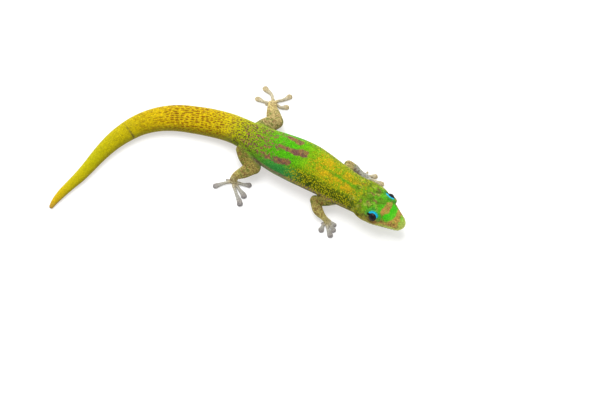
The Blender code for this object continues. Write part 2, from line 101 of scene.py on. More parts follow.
def set_sockets(node, values):
    """Sets the inputs of a node by their names."""
    for name, value in values.items():
        node.inputs[name].default_value = value


def add_lamp(name, place, size, power):
    data = bpy.data.lights.new(name, "AREA")
    data.shape = "DISK"
    data.size = size
    data.energy = power
    lamp = add_object(name, data)
    lamp.location = place
    lamp.rotation_euler = place.to_track_quat("Z", "Y").to_euler()


world = bpy.data.worlds.new("studio")
world.use_nodes = True
set_sockets(world.node_tree.nodes["Background"], {"Color": WHITE, "Strength": SKY_STRENGTH})
bpy.context.scene.world = world
bpy.context.scene.view_settings.view_transform = "Standard"
for name, (place, size, power) in LAMPS.items():
    add_lamp(name, place, size, power)
print("lamps set:", ", ".join(LAMPS))

# %% Floor
FLOOR_HALF = 1.5
FLOOR_GREY = 0.55
FLOOR_GLOW = 0.47  # like a light table, so that shadows stay faint


def new_material(name):
    """A material, its node tree and its shader."""
    material = bpy.data.materials.new(name)
    material.use_nodes = True
    return material, material.node_tree, material.node_tree.nodes["Principled BSDF"]


def add_floor():
    corners = [(x * FLOOR_HALF, y * FLOOR_HALF, 0) for x, y in ((-1, -1), (1, -1), (1, 1), (-1, 1))]
    mesh = bpy.data.meshes.new("floor")
    mesh.from_pydata(corners, [], [(0, 1, 2, 3)])
    material, _, shader = new_material("white_floor")
    set_sockets(shader, {"Base Color": (FLOOR_GREY, FLOOR_GREY, FLOOR_GREY, 1.0),
                         "Emission Color": WHITE, "Emission Strength": FLOOR_GLOW,
                         "Roughness": 0.9, "Specular IOR Level": 0.1})
    mesh.materials.append(material)
    add_object("floor", mesh)


add_floor()
print("floor laid")

# %% [markdown]
# ## The named sizes of the animal
# A gecko is a chain of rounded sections: a spine from the tail tip to the snout, four limbs that bend
# once, and toes that end in flat pads. The same tables as in the solids are used here, so that the
# skin lies just inside them. Only the soft sides of the toes reach a little past them.

# %% Sizes in millimetres
MIDDLE = (-0.49, -0.13)  # the place on the grid that becomes the origin

EYE_FORWARD, EYE_OUT, EYE_UP = 5.9, 3.9, 1.6  # from the back of the skull
EYE_RADIUS = 1.5
EYE_OPENING = 1.22
GAZE = (0.02, 0.76, 0.65)  # ahead, out and up
BROW_RADII = (2.4, 2.15, 2.15)
LID_DEPTH = 0.8
LID_THICKNESS = 0.13

SPINE_SQUARE = (2.0, 2.3)  # 2 is an oval section, and more is squarer: above and below
SKULL = np.array((40.95, -16.85, 6.4))
SNOUT = np.array((52.2, -25.9, 5.0))
SNOUT_ROUND = 1.6
TAIL_TIP_ROUND = 0.5
MOUTH_ANGLE = 3.2
MOUTH_TIP_HEIGHT = -0.45
LIP_RADIUS = 0.32
LIP_SINK = 0.04
NOSTRIL_PLACE = (13.1, 0.45)  # ahead of and above the back of the skull, as for the ear
EAR_PLACE = (1.6, 0.1)

SHAFT_HALF = 0.43  # half the width of a toe between palm and pad
PAD_HALF = 0.84
PAD_HEIGHT = 0.85
PAD_MIDDLE = 0.48
PRESS = 1.1  # the pads reach a little into the floor, where they are cut flat

# %% Spine, head and mouth
# Along the spine: x, y and height of the middle, half width, height above and height below.
SPINE = [
    (-53.3, -16.9, 0.42, 0.60, 0.50, 0.46),
    (-52.3, -15.1, 0.75, 0.95, 0.80, 0.80),
    (-50.4, -12.5, 1.10, 1.30, 1.10, 1.16),
    (-47.8, -9.5, 1.30, 1.50, 1.30, 1.37),
    (-45.1, -6.6, 1.55, 1.75, 1.50, 1.63),
    (-42.5, -3.3, 1.75, 1.95, 1.70, 1.83),
    (-40.1, 0.0, 1.95, 2.20, 1.90, 2.04),
    (-37.7, 3.0, 2.15, 2.45, 2.10, 2.24),
    (-35.1, 5.8, 2.35, 2.75, 2.25, 2.45),
    (-32.2, 8.3, 2.50, 3.05, 2.40, 2.60),
    (-27.1, 11.5, 2.70, 3.50, 2.60, 2.81),
    (-21.6, 13.2, 2.90, 3.95, 2.85, 3.02),
    (-16.1, 13.5, 3.10, 4.30, 3.05, 3.22),
    (-10.5, 12.7, 3.25, 4.45, 3.20, 3.38),
    (-4.9, 11.4, 3.45, 4.50, 3.35, 3.58),
    (0.4, 9.4, 3.90, 4.45, 3.60, 3.65),
    (3.4, 7.6, 4.50, 4.45, 3.70, 3.70),
    (7.1, 4.9, 5.15, 4.80, 4.00, 3.85),
    (10.0, 2.7, 5.60, 5.45, 4.50, 4.35),
    (12.8, 0.7, 5.95, 6.10, 4.95, 4.75),
    (15.9, -1.2, 6.20, 6.60, 5.25, 5.00),
    (19.2, -3.0, 6.40, 6.90, 5.45, 5.20),
    (21.6, -4.3, 6.45, 7.00, 5.50, 5.25),
    (23.9, -5.6, 6.45, 6.95, 5.50, 5.25),
    (26.2, -7.1, 6.40, 6.75, 5.40, 5.15),
    (28.6, -8.7, 6.30, 6.45, 5.20, 4.95),
    (31.4, -10.7, 6.20, 6.10, 5.00, 4.70),
    (33.8, -12.4, 6.15, 5.85, 4.75, 4.45),
    (36.0, -13.9, 6.15, 5.65, 4.50, 4.15),
    (38.3, -15.3, 6.30, 5.60, 4.35, 3.95),
]
# Along the head: distance ahead, half width, heights above and below, squareness of each.
HEAD = np.array([
    (0.0, 5.80, 4.20, 3.75, 2.0, 2.4),
    (1.5, 6.00, 4.25, 3.75, 2.0, 2.5),
    (3.0, 5.95, 4.20, 3.65, 2.0, 2.6),
    (4.5, 5.60, 4.05, 3.50, 2.0, 2.6),
    (6.0, 5.15, 3.75, 3.25, 2.0, 2.6),
    (7.5, 4.55, 3.30, 2.95, 2.1, 2.6),
    (9.0, 3.90, 2.80, 2.65, 2.2, 2.5),
    (10.5, 3.25, 2.40, 2.30, 2.2, 2.5),
    (12.0, 2.65, 2.05, 1.95, 2.2, 2.4),
    (13.2, 2.15, 1.75, 1.65, 2.2, 2.3),
    (14.5, 1.85, 1.50, 1.40, 2.2, 2.2),
])
MOUTH = np.array([(MOUTH_ANGLE, -0.75), (4.4, -1.0), (6.0, -1.1), (8.0, -1.0), (10.0, -0.85),
                  (12.0, -0.65), (13.4, -0.5)])
print("spine sections:", len(SPINE) + len(HEAD))

# %% Limbs and toes
# Each limb: sections from the root to the knee or elbow, then on to the palm or sole, and the bends
# of its toes, the last of which is the small inner one.
LIMBS = {
    "hind_left": (
        [(7.8, 6.6, 4.6, 2.8, 2.2, 2.1), (10.9, 9.4, 4.5, 2.8, 2.1, 2.0),
         (14.0, 11.4, 4.1, 2.4, 1.85, 1.85)],
        [(14.0, 11.4, 4.1, 2.4, 1.85, 1.85), (13.3, 14.8, 3.0, 2.15, 1.6, 1.6),
         (12.9, 18.4, 1.7, 1.45, 1.0, 1.1), (13.1, 20.5, 0.8, 1.35, 0.6, 0.8)],
        [[(12.3, 20.2), (10.5, 20.95), (8.6, 22.0), (7.7, 22.6)],
         [(13.3, 20.7), (12.7, 23.5), (10.9, 25.6), (10.2, 26.6)],
         [(13.9, 20.9), (15.9, 21.5), (18.0, 22.7), (18.9, 23.4)],
         [(13.9, 19.9), (15.4, 18.9), (17.1, 19.0), (18.1, 19.3)],
         [(12.5, 19.9), (11.6, 20.0), (11.0, 20.1)]]),
    "hind_right": (
        [(4.5, 3.0, 4.6, 2.8, 2.2, 2.1), (5.6, -1.2, 4.5, 2.75, 2.1, 2.0),
         (7.4, -4.7, 4.1, 2.3, 1.85, 1.85)],
        [(7.4, -4.7, 4.1, 2.3, 1.85, 1.85), (4.6, -5.9, 3.1, 1.9, 1.6, 1.6),
         (1.8, -6.9, 1.8, 1.2, 1.0, 1.1), (1.3, -7.8, 0.8, 1.25, 0.6, 0.8)],
        [[(0.6, -7.7), (-1.7, -8.3), (-3.9, -9.1), (-4.8, -9.3)],
         [(1.4, -8.8), (2.3, -11.8), (3.4, -14.9), (3.6, -16.2)],
         [(2.1, -8.7), (3.3, -10.5), (4.5, -12.3), (4.9, -13.5)],
         [(2.4, -8.2), (4.5, -8.7), (6.1, -8.9), (6.9, -9.1)],
         [(0.8, -7.4), (0.0, -7.1), (-0.6, -6.9)]]),
    "front_right": (
        [(33.2, -15.6, 4.6, 2.0, 1.8, 1.8), (29.2, -16.3, 4.2, 1.8, 1.6, 1.6),
         (26.0, -16.1, 3.8, 1.5, 1.4, 1.4)],
        [(26.0, -16.1, 3.8, 1.5, 1.4, 1.4), (26.9, -18.9, 2.7, 1.55, 1.25, 1.25),
         (29.0, -21.2, 1.5, 0.9, 0.8, 0.85), (30.0, -22.1, 0.75, 1.15, 0.55, 0.75)],
        [[(29.1, -22.2), (28.2, -23.2), (27.9, -24.1), (27.9, -25.2)],
         [(29.6, -22.7), (29.9, -24.4), (30.4, -25.9), (30.6, -27.0)],
         [(30.2, -22.5), (30.9, -23.5), (31.4, -24.4), (31.5, -25.2)],
         [(30.3, -21.9), (31.1, -22.1), (31.6, -22.7), (31.8, -23.4)],
         [(29.4, -21.9), (28.7, -22.0), (28.1, -22.1)]]),
    "front_left": (
        [(35.2, -9.6, 4.9, 2.0, 1.8, 1.8), (35.9, -6.2, 4.3, 1.7, 1.55, 1.55),
         (36.2, -3.7, 3.7, 1.4, 1.35, 1.35)],
        [(36.2, -3.7, 3.7, 1.4, 1.35, 1.35), (38.0, -4.4, 2.7, 1.35, 1.2, 1.2),
         (40.1, -5.5, 1.5, 0.9, 0.8, 0.85), (41.4, -6.3, 0.75, 1.15, 0.55, 0.75)],
        [[(41.8, -6.0), (43.0, -5.8), (44.1, -5.8), (45.0, -5.9)],
         [(42.1, -6.6), (44.1, -7.6), (45.9, -8.4), (46.8, -8.9)],
         [(41.8, -6.9), (42.8, -8.4), (43.5, -9.8), (44.1, -10.8)],
         [(41.4, -7.1), (41.4, -8.7), (41.1, -9.9), (40.9, -10.8)],
         [(41.3, -5.6), (41.6, -4.9), (41.9, -4.3)]]),
}
print("limbs:", ", ".join(LIMBS))

# %% [markdown]
# ## Lines with sections
# Each part follows a bent line whose oval sections change along it. The helper reads the line at many
# places at once. It also works backwards: for any point of the skin it finds how far along the line
# the point lies and how far round, which is how the markings find their places later.

# %% A bent line with sections
class Line:
    """Rows of x, y, height, half width, height above, height below, squareness above and below."""

    def __init__(self, rows, square=(2.0, 2.0)):
        rows = [tuple(row) if len(row) > 6 else (*row, *square) for row in rows]
        self.rows = np.array(rows, float)
        steps = np.linalg.norm(np.diff(self.rows[:, :3], axis=0), axis=1)
        self.marks = np.concatenate([[0.0], np.cumsum(steps)])
        self.length = self.marks[-1]
        self.slopes = np.gradient(self.rows, self.marks, axis=0)

    def pieces(self, distance):
        distance = np.atleast_1d(np.asarray(distance, float))
        inside = np.clip(distance, 0.0, self.length)
        index = np.searchsorted(self.marks, inside, side="right") - 1
        index = np.clip(index, 0, len(self.marks) - 2)
        span = self.marks[index + 1] - self.marks[index]
        t = (inside - self.marks[index]) / span
        return index, span[:, None], t[:, None], (distance - inside)[:, None]

    def frames(self, distance):
        """Sections at the given distances, with the directions ahead, to the left and up."""
        index, span, t, beyond = self.pieces(distance)
        a, b = self.rows[index], self.rows[index + 1]
        slope_a, slope_b = self.slopes[index] * span, self.slopes[index + 1] * span
        ahead = (6 * t * t - 6 * t) * (a - b)
        ahead = ahead + (3 * t * t - 4 * t + 1) * slope_a + (3 * t * t - 2 * t) * slope_b
        ahead = ahead[:, :3] / np.linalg.norm(ahead[:, :3], axis=1, keepdims=True)
        rows = (2 * t ** 3 - 3 * t * t + 1) * a + (t ** 3 - 2 * t * t + t) * slope_a
        rows = rows + (3 * t * t - 2 * t ** 3) * b + (t ** 3 - t * t) * slope_b
        rows[:, :3] += beyond * ahead
        left = np.stack([-ahead[:, 1], ahead[:, 0], np.zeros(len(ahead))], axis=1)
        left /= np.linalg.norm(left, axis=1, keepdims=True)
        return rows, ahead, left, np.cross(ahead, left)

    def surface(self, distance, turn, share=1.0, grow=0.0):
        """Points of the surface; turn is the angle round the section, from the left side up."""
        rows, _, left, up = self.frames(distance)
        across, rise = np.cos(turn), np.sin(turn)
        power = 2.0 / np.where(rise > 0, rows[:, 6], rows[:, 7])
        height = np.where(rise > 0, rows[:, 4], rows[:, 5])
        wide = np.maximum(rows[:, 3] * share + grow, 0.02)
        tall = np.maximum(height * share + grow, 0.02)
        across = np.sign(across) * np.abs(across) ** power * wide
        rise = np.sign(rise) * np.abs(rise) ** power * tall
        points = rows[:, :3] + left * across[:, None] + up * rise[:, None]
        points[:, 2] = np.maximum(points[:, 2], -grow)
        return points


print("a section has", len(SPINE[0]) + len(SPINE_SQUARE), "numbers")

# %% From a point back to its place on a line
STATION_STEP = 0.25  # the line is first looked at in steps of this length


def point_tree(points):
    """A tree that finds the nearest of the points quickly."""
    tree = KDTree(len(points))
    for index, point in enumerate(points):
        tree.insert(point, index)
    tree.balance()
    return tree


def dot(a, b):
    return np.einsum("ij,ij->i", a, b)


def locate(line, points):
    """For each point: distance along the line, turn round it, and share of the radius."""
    stations = np.arange(0.0, line.length + STATION_STEP, STATION_STEP)
    tree = point_tree(line.frames(stations)[0][:, :3])
    nearest = np.array([tree.find(point)[1] for point in points])
    rows, ahead, _, _ = line.frames(stations[nearest])
    along = dot(points - rows[:, :3], ahead)
    distance = stations[nearest] + np.clip(along, -2 * STATION_STEP, 2 * STATION_STEP)
    rows, ahead, left, up = line.frames(distance)
    offset = points - rows[:, :3]
    across, rise = dot(offset, left), dot(offset, up)
    height = np.where(rise > 0, rows[:, 4], rows[:, 5])
    power = np.where(rise > 0, rows[:, 6], rows[:, 7]) / 2.0
    x = np.sign(across) * (np.abs(across) / rows[:, 3]) ** power
    y = np.sign(rise) * (np.abs(rise) / height) ** power
    beyond = np.abs(dot(offset, ahead)) / rows[:, 3]
    share = (np.hypot(x, y) ** (1.0 / power)) + beyond
    return distance, np.arctan2(y, x), share


print("a line is searched in steps of", STATION_STEP, "mm")

# %% Places on the head, and the spine
def head_axes():
    ahead = SNOUT - SKULL
    ahead = ahead / np.linalg.norm(ahead)
    left = np.array([-ahead[1], ahead[0], 0.0])
    left /= np.linalg.norm(left)
    return ahead, left, np.cross(ahead, left)


AHEAD, LEFT, UP = head_axes()


def head_point(forward, out, height):
    """The place at some distances ahead of, left of and above the back of the skull."""
    return SKULL + AHEAD * forward + LEFT * out + UP * height


def head_places(points):
    """The same distances for some points."""
    offset = points - SKULL
    return offset @ AHEAD, offset @ LEFT, offset @ UP


def spine_line():
    rows = [(*row, *SPINE_SQUARE) for row in SPINE]
    rows += [(*head_point(row[0], 0, 0), *row[1:]) for row in HEAD]
    return Line(rows)


spine = spine_line()
print("spine length in mm:", round(spine.length, 1))

# %% The limbs and toes as lines
TOE_SWELLS = (0.05, 0.06, 0.08, 0.13)  # the soft sides of a toe, past the solid, to its pad


def toe_line(points):
    """A toe with its pad, or the tiny inner toe, from its bends."""
    points = [np.array(point) for point in points]
    if len(points) == 3:
        rows = [(*point, z, half, 0.32, z) for point, z, half in
                zip(points, (0.7, 0.5, 0.4), (0.42, 0.34, 0.42))]
        line = Line(rows, (2.0, 2.4))
        return line, line.length + 0.3, 0.3, 0.4
    base, bend, pad, tip = points
    back = tip - (tip - pad) / np.linalg.norm(tip - pad) * PAD_HALF
    rows = [(*base, 0.75, 0.55, 0.45, 0.75),
            (*(base + bend) / 2, 0.72, SHAFT_HALF, 0.42, 0.60),
            (*bend, 0.62, SHAFT_HALF, 0.40, 0.60),
            (*pad, PAD_MIDDLE, 0.93 * PAD_HALF, PAD_HEIGHT - PAD_MIDDLE, PRESS * PAD_MIDDLE)]
    rows = [(*row[:3], row[3] + swell, *row[4:]) for row, swell in zip(rows, TOE_SWELLS)]
    if np.linalg.norm(back - pad) > 0.3:
        rows.append((*back, PAD_MIDDLE, PAD_HALF + TOE_SWELLS[-1], PAD_HEIGHT - PAD_MIDDLE,
                     PRESS * PAD_MIDDLE))
    line = Line(rows, (2.0, 2.6))
    reach = np.linalg.norm(tip - np.array(rows[-1][:2]))
    return line, line.length + reach, 0.4, PAD_HALF


# Every tube: its line, where it starts and ends, how its ends are rounded, and its kind.
tubes = [dict(line=spine, start=0.0, end=spine.length, rounds=(TAIL_TIP_ROUND, SNOUT_ROUND),
              sides=72, step=0.45, kind="spine", limb=-1)]
for number, (upper_rows, lower_rows, toes) in enumerate(LIMBS.values()):
    upper, lower = Line(upper_rows), Line(lower_rows)
    knee = upper_rows[-1][3]
    tubes.append(dict(line=upper, start=0.0, end=upper.length + knee, rounds=(1.2, knee),
                      sides=36, step=0.35, kind="upper", limb=number))
    tubes.append(dict(line=lower, start=-knee, end=lower.length + 0.9, rounds=(knee, 0.9),
                      sides=36, step=0.35, kind="lower", limb=number))
    for toe in toes:
        line, end, round_start, round_end = toe_line(toe)
        tubes.append(dict(line=line, start=0.0, end=end, rounds=(round_start, round_end),
                          sides=24, step=0.2, kind="toe", limb=number))
print("tubes:", len(tubes))

# %% [markdown]
# ## The skin's rough form
# The skin is first a heap of closed tubes that run into one another. Booleans could join them, but a
# fine voxel remesh does it in one go and leaves an even net, which smoothing then turns into soft
# joins at the hips and shoulders.

# %% Closed tubes
SKIN_DEPTH = 0.07  # the skin lies this far inside the solids; the scales fill the rest
END_RINGS = 10


def closed_faces(rings, sides, first=0):
    """Faces between rings of points, closed by two poles that come after the rings."""
    ring = np.arange(sides)
    after = (ring + 1) % sides
    base = (np.arange(rings - 1) * sides)[:, None]
    quads = np.stack([base + sides + ring, base + sides + after, base + after, base + ring], axis=-1)
    quads = np.roll(quads, first, axis=-1).reshape(-1, 4)
    last, pole = (rings - 1) * sides, rings * sides
    caps = [(pole, int(a), int(b)) for a, b in zip(ring, after)]
    caps += [(pole + 1, int(b), int(a)) for a, b in zip(ring + last, after + last)]
    return [*map(tuple, quads.tolist()), *caps]


def tube_mesh(line, start, end, rounds, sides, step, **_):
    """Points and faces of a closed tube with rounded ends."""
    angle = 0.5 * np.pi * np.arange(1, END_RINGS) / END_RINGS
    first, last = start + rounds[0], end - rounds[1]
    count = max(2, int(round((last - first) / step)))
    places = np.concatenate([first - rounds[0] * np.cos(angle), np.linspace(first, last, count),
                             (last + rounds[1] * np.cos(angle))[::-1]])
    shares = np.concatenate([np.sin(angle), np.ones(count), np.sin(angle)[::-1]])
    turns = 2 * np.pi * (np.arange(sides) + 0.5) / sides
    points = line.surface(np.repeat(places, sides), np.tile(turns, len(places)),
                          np.repeat(shares, sides), -SKIN_DEPTH)
    poles = line.frames([start + SKIN_DEPTH, end - SKIN_DEPTH])[0][:, :3]
    return np.vstack([points, poles]), closed_faces(len(places), sides)


print("rounded ends have", END_RINGS, "rings")

# %% Round the eyes
BROW_RINGS = 28


def eye_places():
    """The middle of each eye and the way it looks, on the left and then the right."""
    for side in (1, -1):
        gaze = AHEAD * GAZE[0] + LEFT * GAZE[1] * side + UP * GAZE[2]
        yield side, head_point(EYE_FORWARD, side * EYE_OUT, EYE_UP), gaze / np.linalg.norm(gaze)


def brow_mesh(centre, gaze):
    """The swelling round an eye, flattened where the lids open."""
    across = np.linspace(0, np.pi, BROW_RINGS)[1:-1]
    around = np.linspace(0, 2 * np.pi, 2 * BROW_RINGS, endpoint=False)
    grid_a, grid_b = np.meshgrid(across, around, indexing="ij")
    unit = np.stack([np.sin(grid_a) * np.cos(grid_b), np.sin(grid_a) * np.sin(grid_b),
                     np.cos(grid_a)], axis=-1).reshape(-1, 3)
    unit = np.vstack([unit, [(0, 0, 1), (0, 0, -1)]])
    radii = np.array(BROW_RADII) - SKIN_DEPTH
    points = centre + (unit * radii) @ np.stack([AHEAD, LEFT, UP])
    depth = (points - centre) @ gaze
    points -= np.maximum(depth - LID_DEPTH, 0)[:, None] * gaze
    return points, closed_faces(len(across), len(around), 1)


def across_axis(axis):
    """Two directions at right angles to an axis: one level, and one that rises."""
    level = np.cross(axis, UP)
    level /= np.linalg.norm(level)
    return level, np.cross(level, axis)


def ring_mesh(centre, axis, major, minor, around=64, across=12):
    """A closed ring about an axis."""
    level, rising = across_axis(axis)
    a = np.repeat(np.linspace(0, 2 * np.pi, around, endpoint=False), across)
    b = np.tile(np.linspace(0, 2 * np.pi, across, endpoint=False), around)
    out = np.outer(np.cos(a), level) - np.outer(np.sin(a), rising)
    points = centre + out * (major + minor * np.cos(b))[:, None] + np.outer(minor * np.sin(b), axis)
    i = np.repeat(np.arange(around), across)
    j = np.tile(np.arange(across), around)
    k, m = (i + 1) % around, (j + 1) % across
    faces = np.stack([i * across + j, k * across + j, k * across + m, i * across + m], axis=-1)
    return points, list(map(tuple, faces.tolist()))


print("eyes look", round(math.degrees(math.asin(list(eye_places())[0][2][2]))), "degrees upwards")

# %% The whole rough form
LIPS_MEET = 13.9  # where the line of the lips turns round the snout
LIP_TALL = 1.35  # height of the lips as a share of their radius


def head_half_width(forward, height):
    """Half the width of the head at some distances ahead and heights."""
    half, above, below, square_above, square_below = (
        np.interp(forward, HEAD[:, 0], HEAD[:, k]) for k in range(1, 6))
    left_over = np.maximum(0.0, 1 - (HEAD[-1, 0] - forward) / SNOUT_ROUND)
    share = np.sqrt(1 - left_over ** 2)
    level = np.where(height > 0, above, below)
    power = np.where(height > 0, square_above, square_below)
    filled = np.minimum(1.0, np.abs(height) / np.maximum(level * share, 1e-6))
    return half * share * (1 - filled ** power) ** (1 / power)


def lip_line():
    """The lips as one line from a corner of the mouth round the snout to the other."""
    stations = [row for row in MOUTH if row[0] > MOUTH_ANGLE] + [(LIPS_MEET, MOUTH_TIP_HEIGHT)]
    right = [head_point(f, -head_half_width(f, h), h) for f, h in stations]
    left = [head_point(f, head_half_width(f, h), h) for f, h in reversed(stations)]
    front = head_point(HEAD[-1, 0] - 0.2, 0.0, MOUTH_TIP_HEIGHT)
    inside = head_point(8.0, 0.0, 0.0)
    rows = []
    for point in (*right, front, *left):
        centre = point + (inside - point) * LIP_SINK
        rows.append((*centre, LIP_RADIUS, LIP_RADIUS * LIP_TALL, LIP_RADIUS * LIP_TALL))
    return Line(rows)


def rough_parts():
    for tube in tubes:
        yield tube_mesh(**tube)
    lips = lip_line()
    yield tube_mesh(lips, 0.0, lips.length, (0.6, 0.6), 16, 0.3)
    for _, centre, gaze in eye_places():
        yield brow_mesh(centre, gaze)
        yield ring_mesh(centre + gaze * LID_DEPTH, gaze,
                        EYE_OPENING + 0.8 * LID_THICKNESS, LID_THICKNESS)


def join_parts(parts):
    """One list of points and one of faces for all the parts."""
    points, faces, offset = [], [], 0
    for part_points, part_faces in parts:
        points.append(part_points)
        faces += [tuple(corner + offset for corner in face) for face in part_faces]
        offset += len(part_points)
    return np.vstack(points), faces


rough_points, rough_faces = join_parts(rough_parts())
print("rough form:", len(rough_points), "points")

# %% One net over all of it
VOXEL = 0.12  # the width of its meshes


def mesh_object(name, points, faces):
    mesh = bpy.data.meshes.new(name)
    mesh.from_pydata([tuple(point) for point in points], [], faces)
    mesh.update()
    return add_object(name, mesh)


def flatten_modifiers(obj):
    """Replaces the object's mesh by what its modifiers make of it."""
    bpy.context.view_layer.update()
    graph = bpy.context.evaluated_depsgraph_get()
    mesh = bpy.data.meshes.new_from_object(obj.evaluated_get(graph))
    obj.modifiers.clear()
    old = obj.data
    obj.data = mesh
    bpy.data.meshes.remove(old)


def read_points(mesh):
    points = np.empty(len(mesh.vertices) * 3, np.float32)
    mesh.vertices.foreach_get("co", points)
    return points.reshape(-1, 3).astype(float)


def write_points(mesh, points):
    mesh.vertices.foreach_set("co", points.astype(np.float32).ravel())
    mesh.update()


skin = mesh_object("skin", rough_points, rough_faces)
net = skin.modifiers.new("Net", "REMESH")
net.mode = "VOXEL"
net.voxel_size = VOXEL
flatten_modifiers(skin)
print("skin net:", len(skin.data.vertices), "points")

# %% [markdown]
# ## Softening the skin
# The net has small steps from its voxels and sharp creases where limbs meet the trunk. Each round of
# smoothing moves a point part of the way to the middle of its neighbours; a second, opposite step
# keeps thin toes from shrinking. The creases at the hips and shoulders get many more rounds.

# %% Smoothing
SMOOTH_ROUNDS = 3
SMOOTH_STEPS = (0.5, -0.52)  # towards the middle of the neighbours, and away from it
ROOT_ROUNDS = 40
ROOT_STEP = 0.6


def net_edges(mesh):
    edges = np.empty(len(mesh.edges) * 2, np.int32)
    mesh.edges.foreach_get("vertices", edges)
    return edges.reshape(-1, 2)


def smooth(points, edges, share, rounds):
    """Moves points towards the middle of their neighbours by a share, one for all or each its own."""
    count = len(points)
    degree = np.bincount(edges.ravel(), minlength=count)[:, None]
    for _ in range(rounds):
        total = np.stack([np.bincount(edges[:, 0], points[edges[:, 1], k], count)
                          + np.bincount(edges[:, 1], points[edges[:, 0], k], count)
                          for k in range(3)], axis=1)
        points = points + share * (total / degree - points)
    return points


def ramp(low, high, value):
    """Rises smoothly from 0 at low to 1 at high, or falls where high is the lower."""
    t = np.clip((value - low) / (high - low), 0.0, 1.0)
    return t * t * (3 - 2 * t)


def near_roots(points):
    """1 close to where a limb leaves the trunk."""
    weight = np.zeros(len(points))
    for upper_rows, _, _ in LIMBS.values():
        root, out = np.array(upper_rows[0][:3]), np.array(upper_rows[1][:3])
        middle = root + (out - root) * 0.55
        size = upper_rows[0][3] * 1.9
        weight = np.maximum(weight, ramp(size, 0.6 * size, np.linalg.norm(points - middle, axis=1)))
    return weight


edges = net_edges(skin.data)
points = read_points(skin.data)
for _ in range(SMOOTH_ROUNDS):
    for step in SMOOTH_STEPS:
        points = smooth(points, edges, step, 1)
roots = near_roots(points)[:, None]
points = smooth(points, edges, ROOT_STEP * roots, ROOT_ROUNDS)
write_points(skin.data, points)
print("points softened at the limb roots:", int((roots > 0.5).sum()))

# %% [markdown]
# ## Folds, mouth, nostrils and eye openings
# These are small forms of one skin, so they are made by moving its points: the mouth is a groove
# between two lips, the nostrils and ears are pits with a rim, and the skin inside each eye opening
# sinks behind the eyeball. Booleans would leave ragged edges in so fine a net.

# %% Noise
def lattice(cells, seed):
    """A repeatable value from -1 to 1 for each whole-numbered cell."""
    mixed = (cells[..., 0] * 374761393 + cells[..., 1] * 668265263 + cells[..., 2] * 2147483647
             + seed * 1442695041) & 0xFFFFFFFF
    mixed = ((mixed ^ (mixed >> 13)) * 1274126177) & 0xFFFFFFFF
    mixed = ((mixed ^ (mixed >> 15)) * 2246822519) & 0xFFFFFFFF
    return ((mixed ^ (mixed >> 16)) & 0xFFFF) / 32767.5 - 1.0


def noise(points, size, seed):
    """Smooth lumps of about the given size, from -1 to 1."""
    places = np.asarray(points, float) / size
    cells = np.floor(places).astype(np.int64)
    t = places - cells
    t = t * t * (3 - 2 * t)
    total = np.zeros(len(places))
    for corner in np.ndindex(2, 2, 2):
        corner = np.array(corner)
        weight = np.prod(np.where(corner, t, 1 - t), axis=1)
        total += weight * lattice(cells + corner, seed)
    return total


# %% Sizes of the small forms of the head
MOUTH_GROOVE = (0.27, 0.13)  # depth and half width
NOSTRIL = (0.42, 0.22)  # depth and radius
EAR = (0.5, 0.42, 0.62)  # depth, half length and half height
SNOUT_HOLLOW = 0.16
CROWN_HOLLOW = 0.22
CHEEK_HOLLOW = 0.16
JAW_SWELLING = 0.12
EYE_BEHIND = 0.28  # the skin inside the lids lies this far behind the front of the eye
LID_FOLD = (2.05, 0.16, 0.1)  # radius round the eye, width and depth


def bump(distance, width):
    return np.exp(-(distance / width) ** 2)


def side_spot(side, place):
    """A place on the left or right of the head, from its distance ahead and its height."""
    forward, height = place
    return head_point(forward, side * float(head_half_width(forward, height)), height)


def mouth_height(forward):
    """The height of the line of the mouth at some distances ahead."""
    return np.interp(forward, [*MOUTH[:, 0], HEAD[-1, 0]], [*MOUTH[:, 1], MOUTH_TIP_HEIGHT])


def round_axis(points, centre, axis):
    """The offsets from a centre, how far they lie along an axis, and what is left across it."""
    offset = points - centre
    along = offset @ axis
    return offset, along, offset - along[:, None] * axis


print("the mouth lies", round(-float(mouth_height(6.0)), 2), "mm under the middle of the head")

# %% Shaping the head
def shape_face(p, forward, out, height, inward):
    """The mouth, and the hollows and swellings of snout, crown, cheeks and jaw."""
    groove = MOUTH_GROOVE[0] * bump(height - mouth_height(forward), MOUTH_GROOVE[1])
    p = p + inward * (groove * ramp(2.9, 3.9, forward))[:, None]
    snout = ramp(6.8, 8.5, forward) * ramp(13.0, 11.0, forward)
    p = p - UP * (SNOUT_HOLLOW * bump(out, 0.9) * snout * (height > 0))[:, None]
    crown = bump(forward - 5.2, 2.6) * (height > 1.5)
    p = p - UP * (CROWN_HOLLOW * bump(out, 1.5) * crown)[:, None]
    cheek = bump(forward - 9.4, 1.3) * bump(height - 0.15, 0.55)
    p = p - LEFT * (np.sign(out) * CHEEK_HOLLOW * cheek)[:, None]
    jaw = bump(forward - 3.4, 2.0) * bump(height + 2.2, 0.7)
    return p + LEFT * (np.sign(out) * JAW_SWELLING * jaw)[:, None]


def shape_pits(p, inward):
    """The nostrils and ears, each a pit with a low rim."""
    for side in (1, -1):
        away = np.linalg.norm(p - side_spot(side, NOSTRIL_PLACE), axis=1)
        pit = NOSTRIL[0] * bump(away, NOSTRIL[1]) - 0.06 * bump(away - 0.36, 0.12)
        p = p + inward * pit[:, None]
        offset = p - side_spot(side, EAR_PLACE)
        oval = np.hypot(np.hypot((offset @ AHEAD) / EAR[1], (offset @ UP) / EAR[2]),
                        (offset @ LEFT) / 1.2)
        pit = EAR[0] * bump(oval, 0.8) - 0.09 * bump(oval - 1.45, 0.3)
        p = p - LEFT * (side * pit)[:, None]
    return p


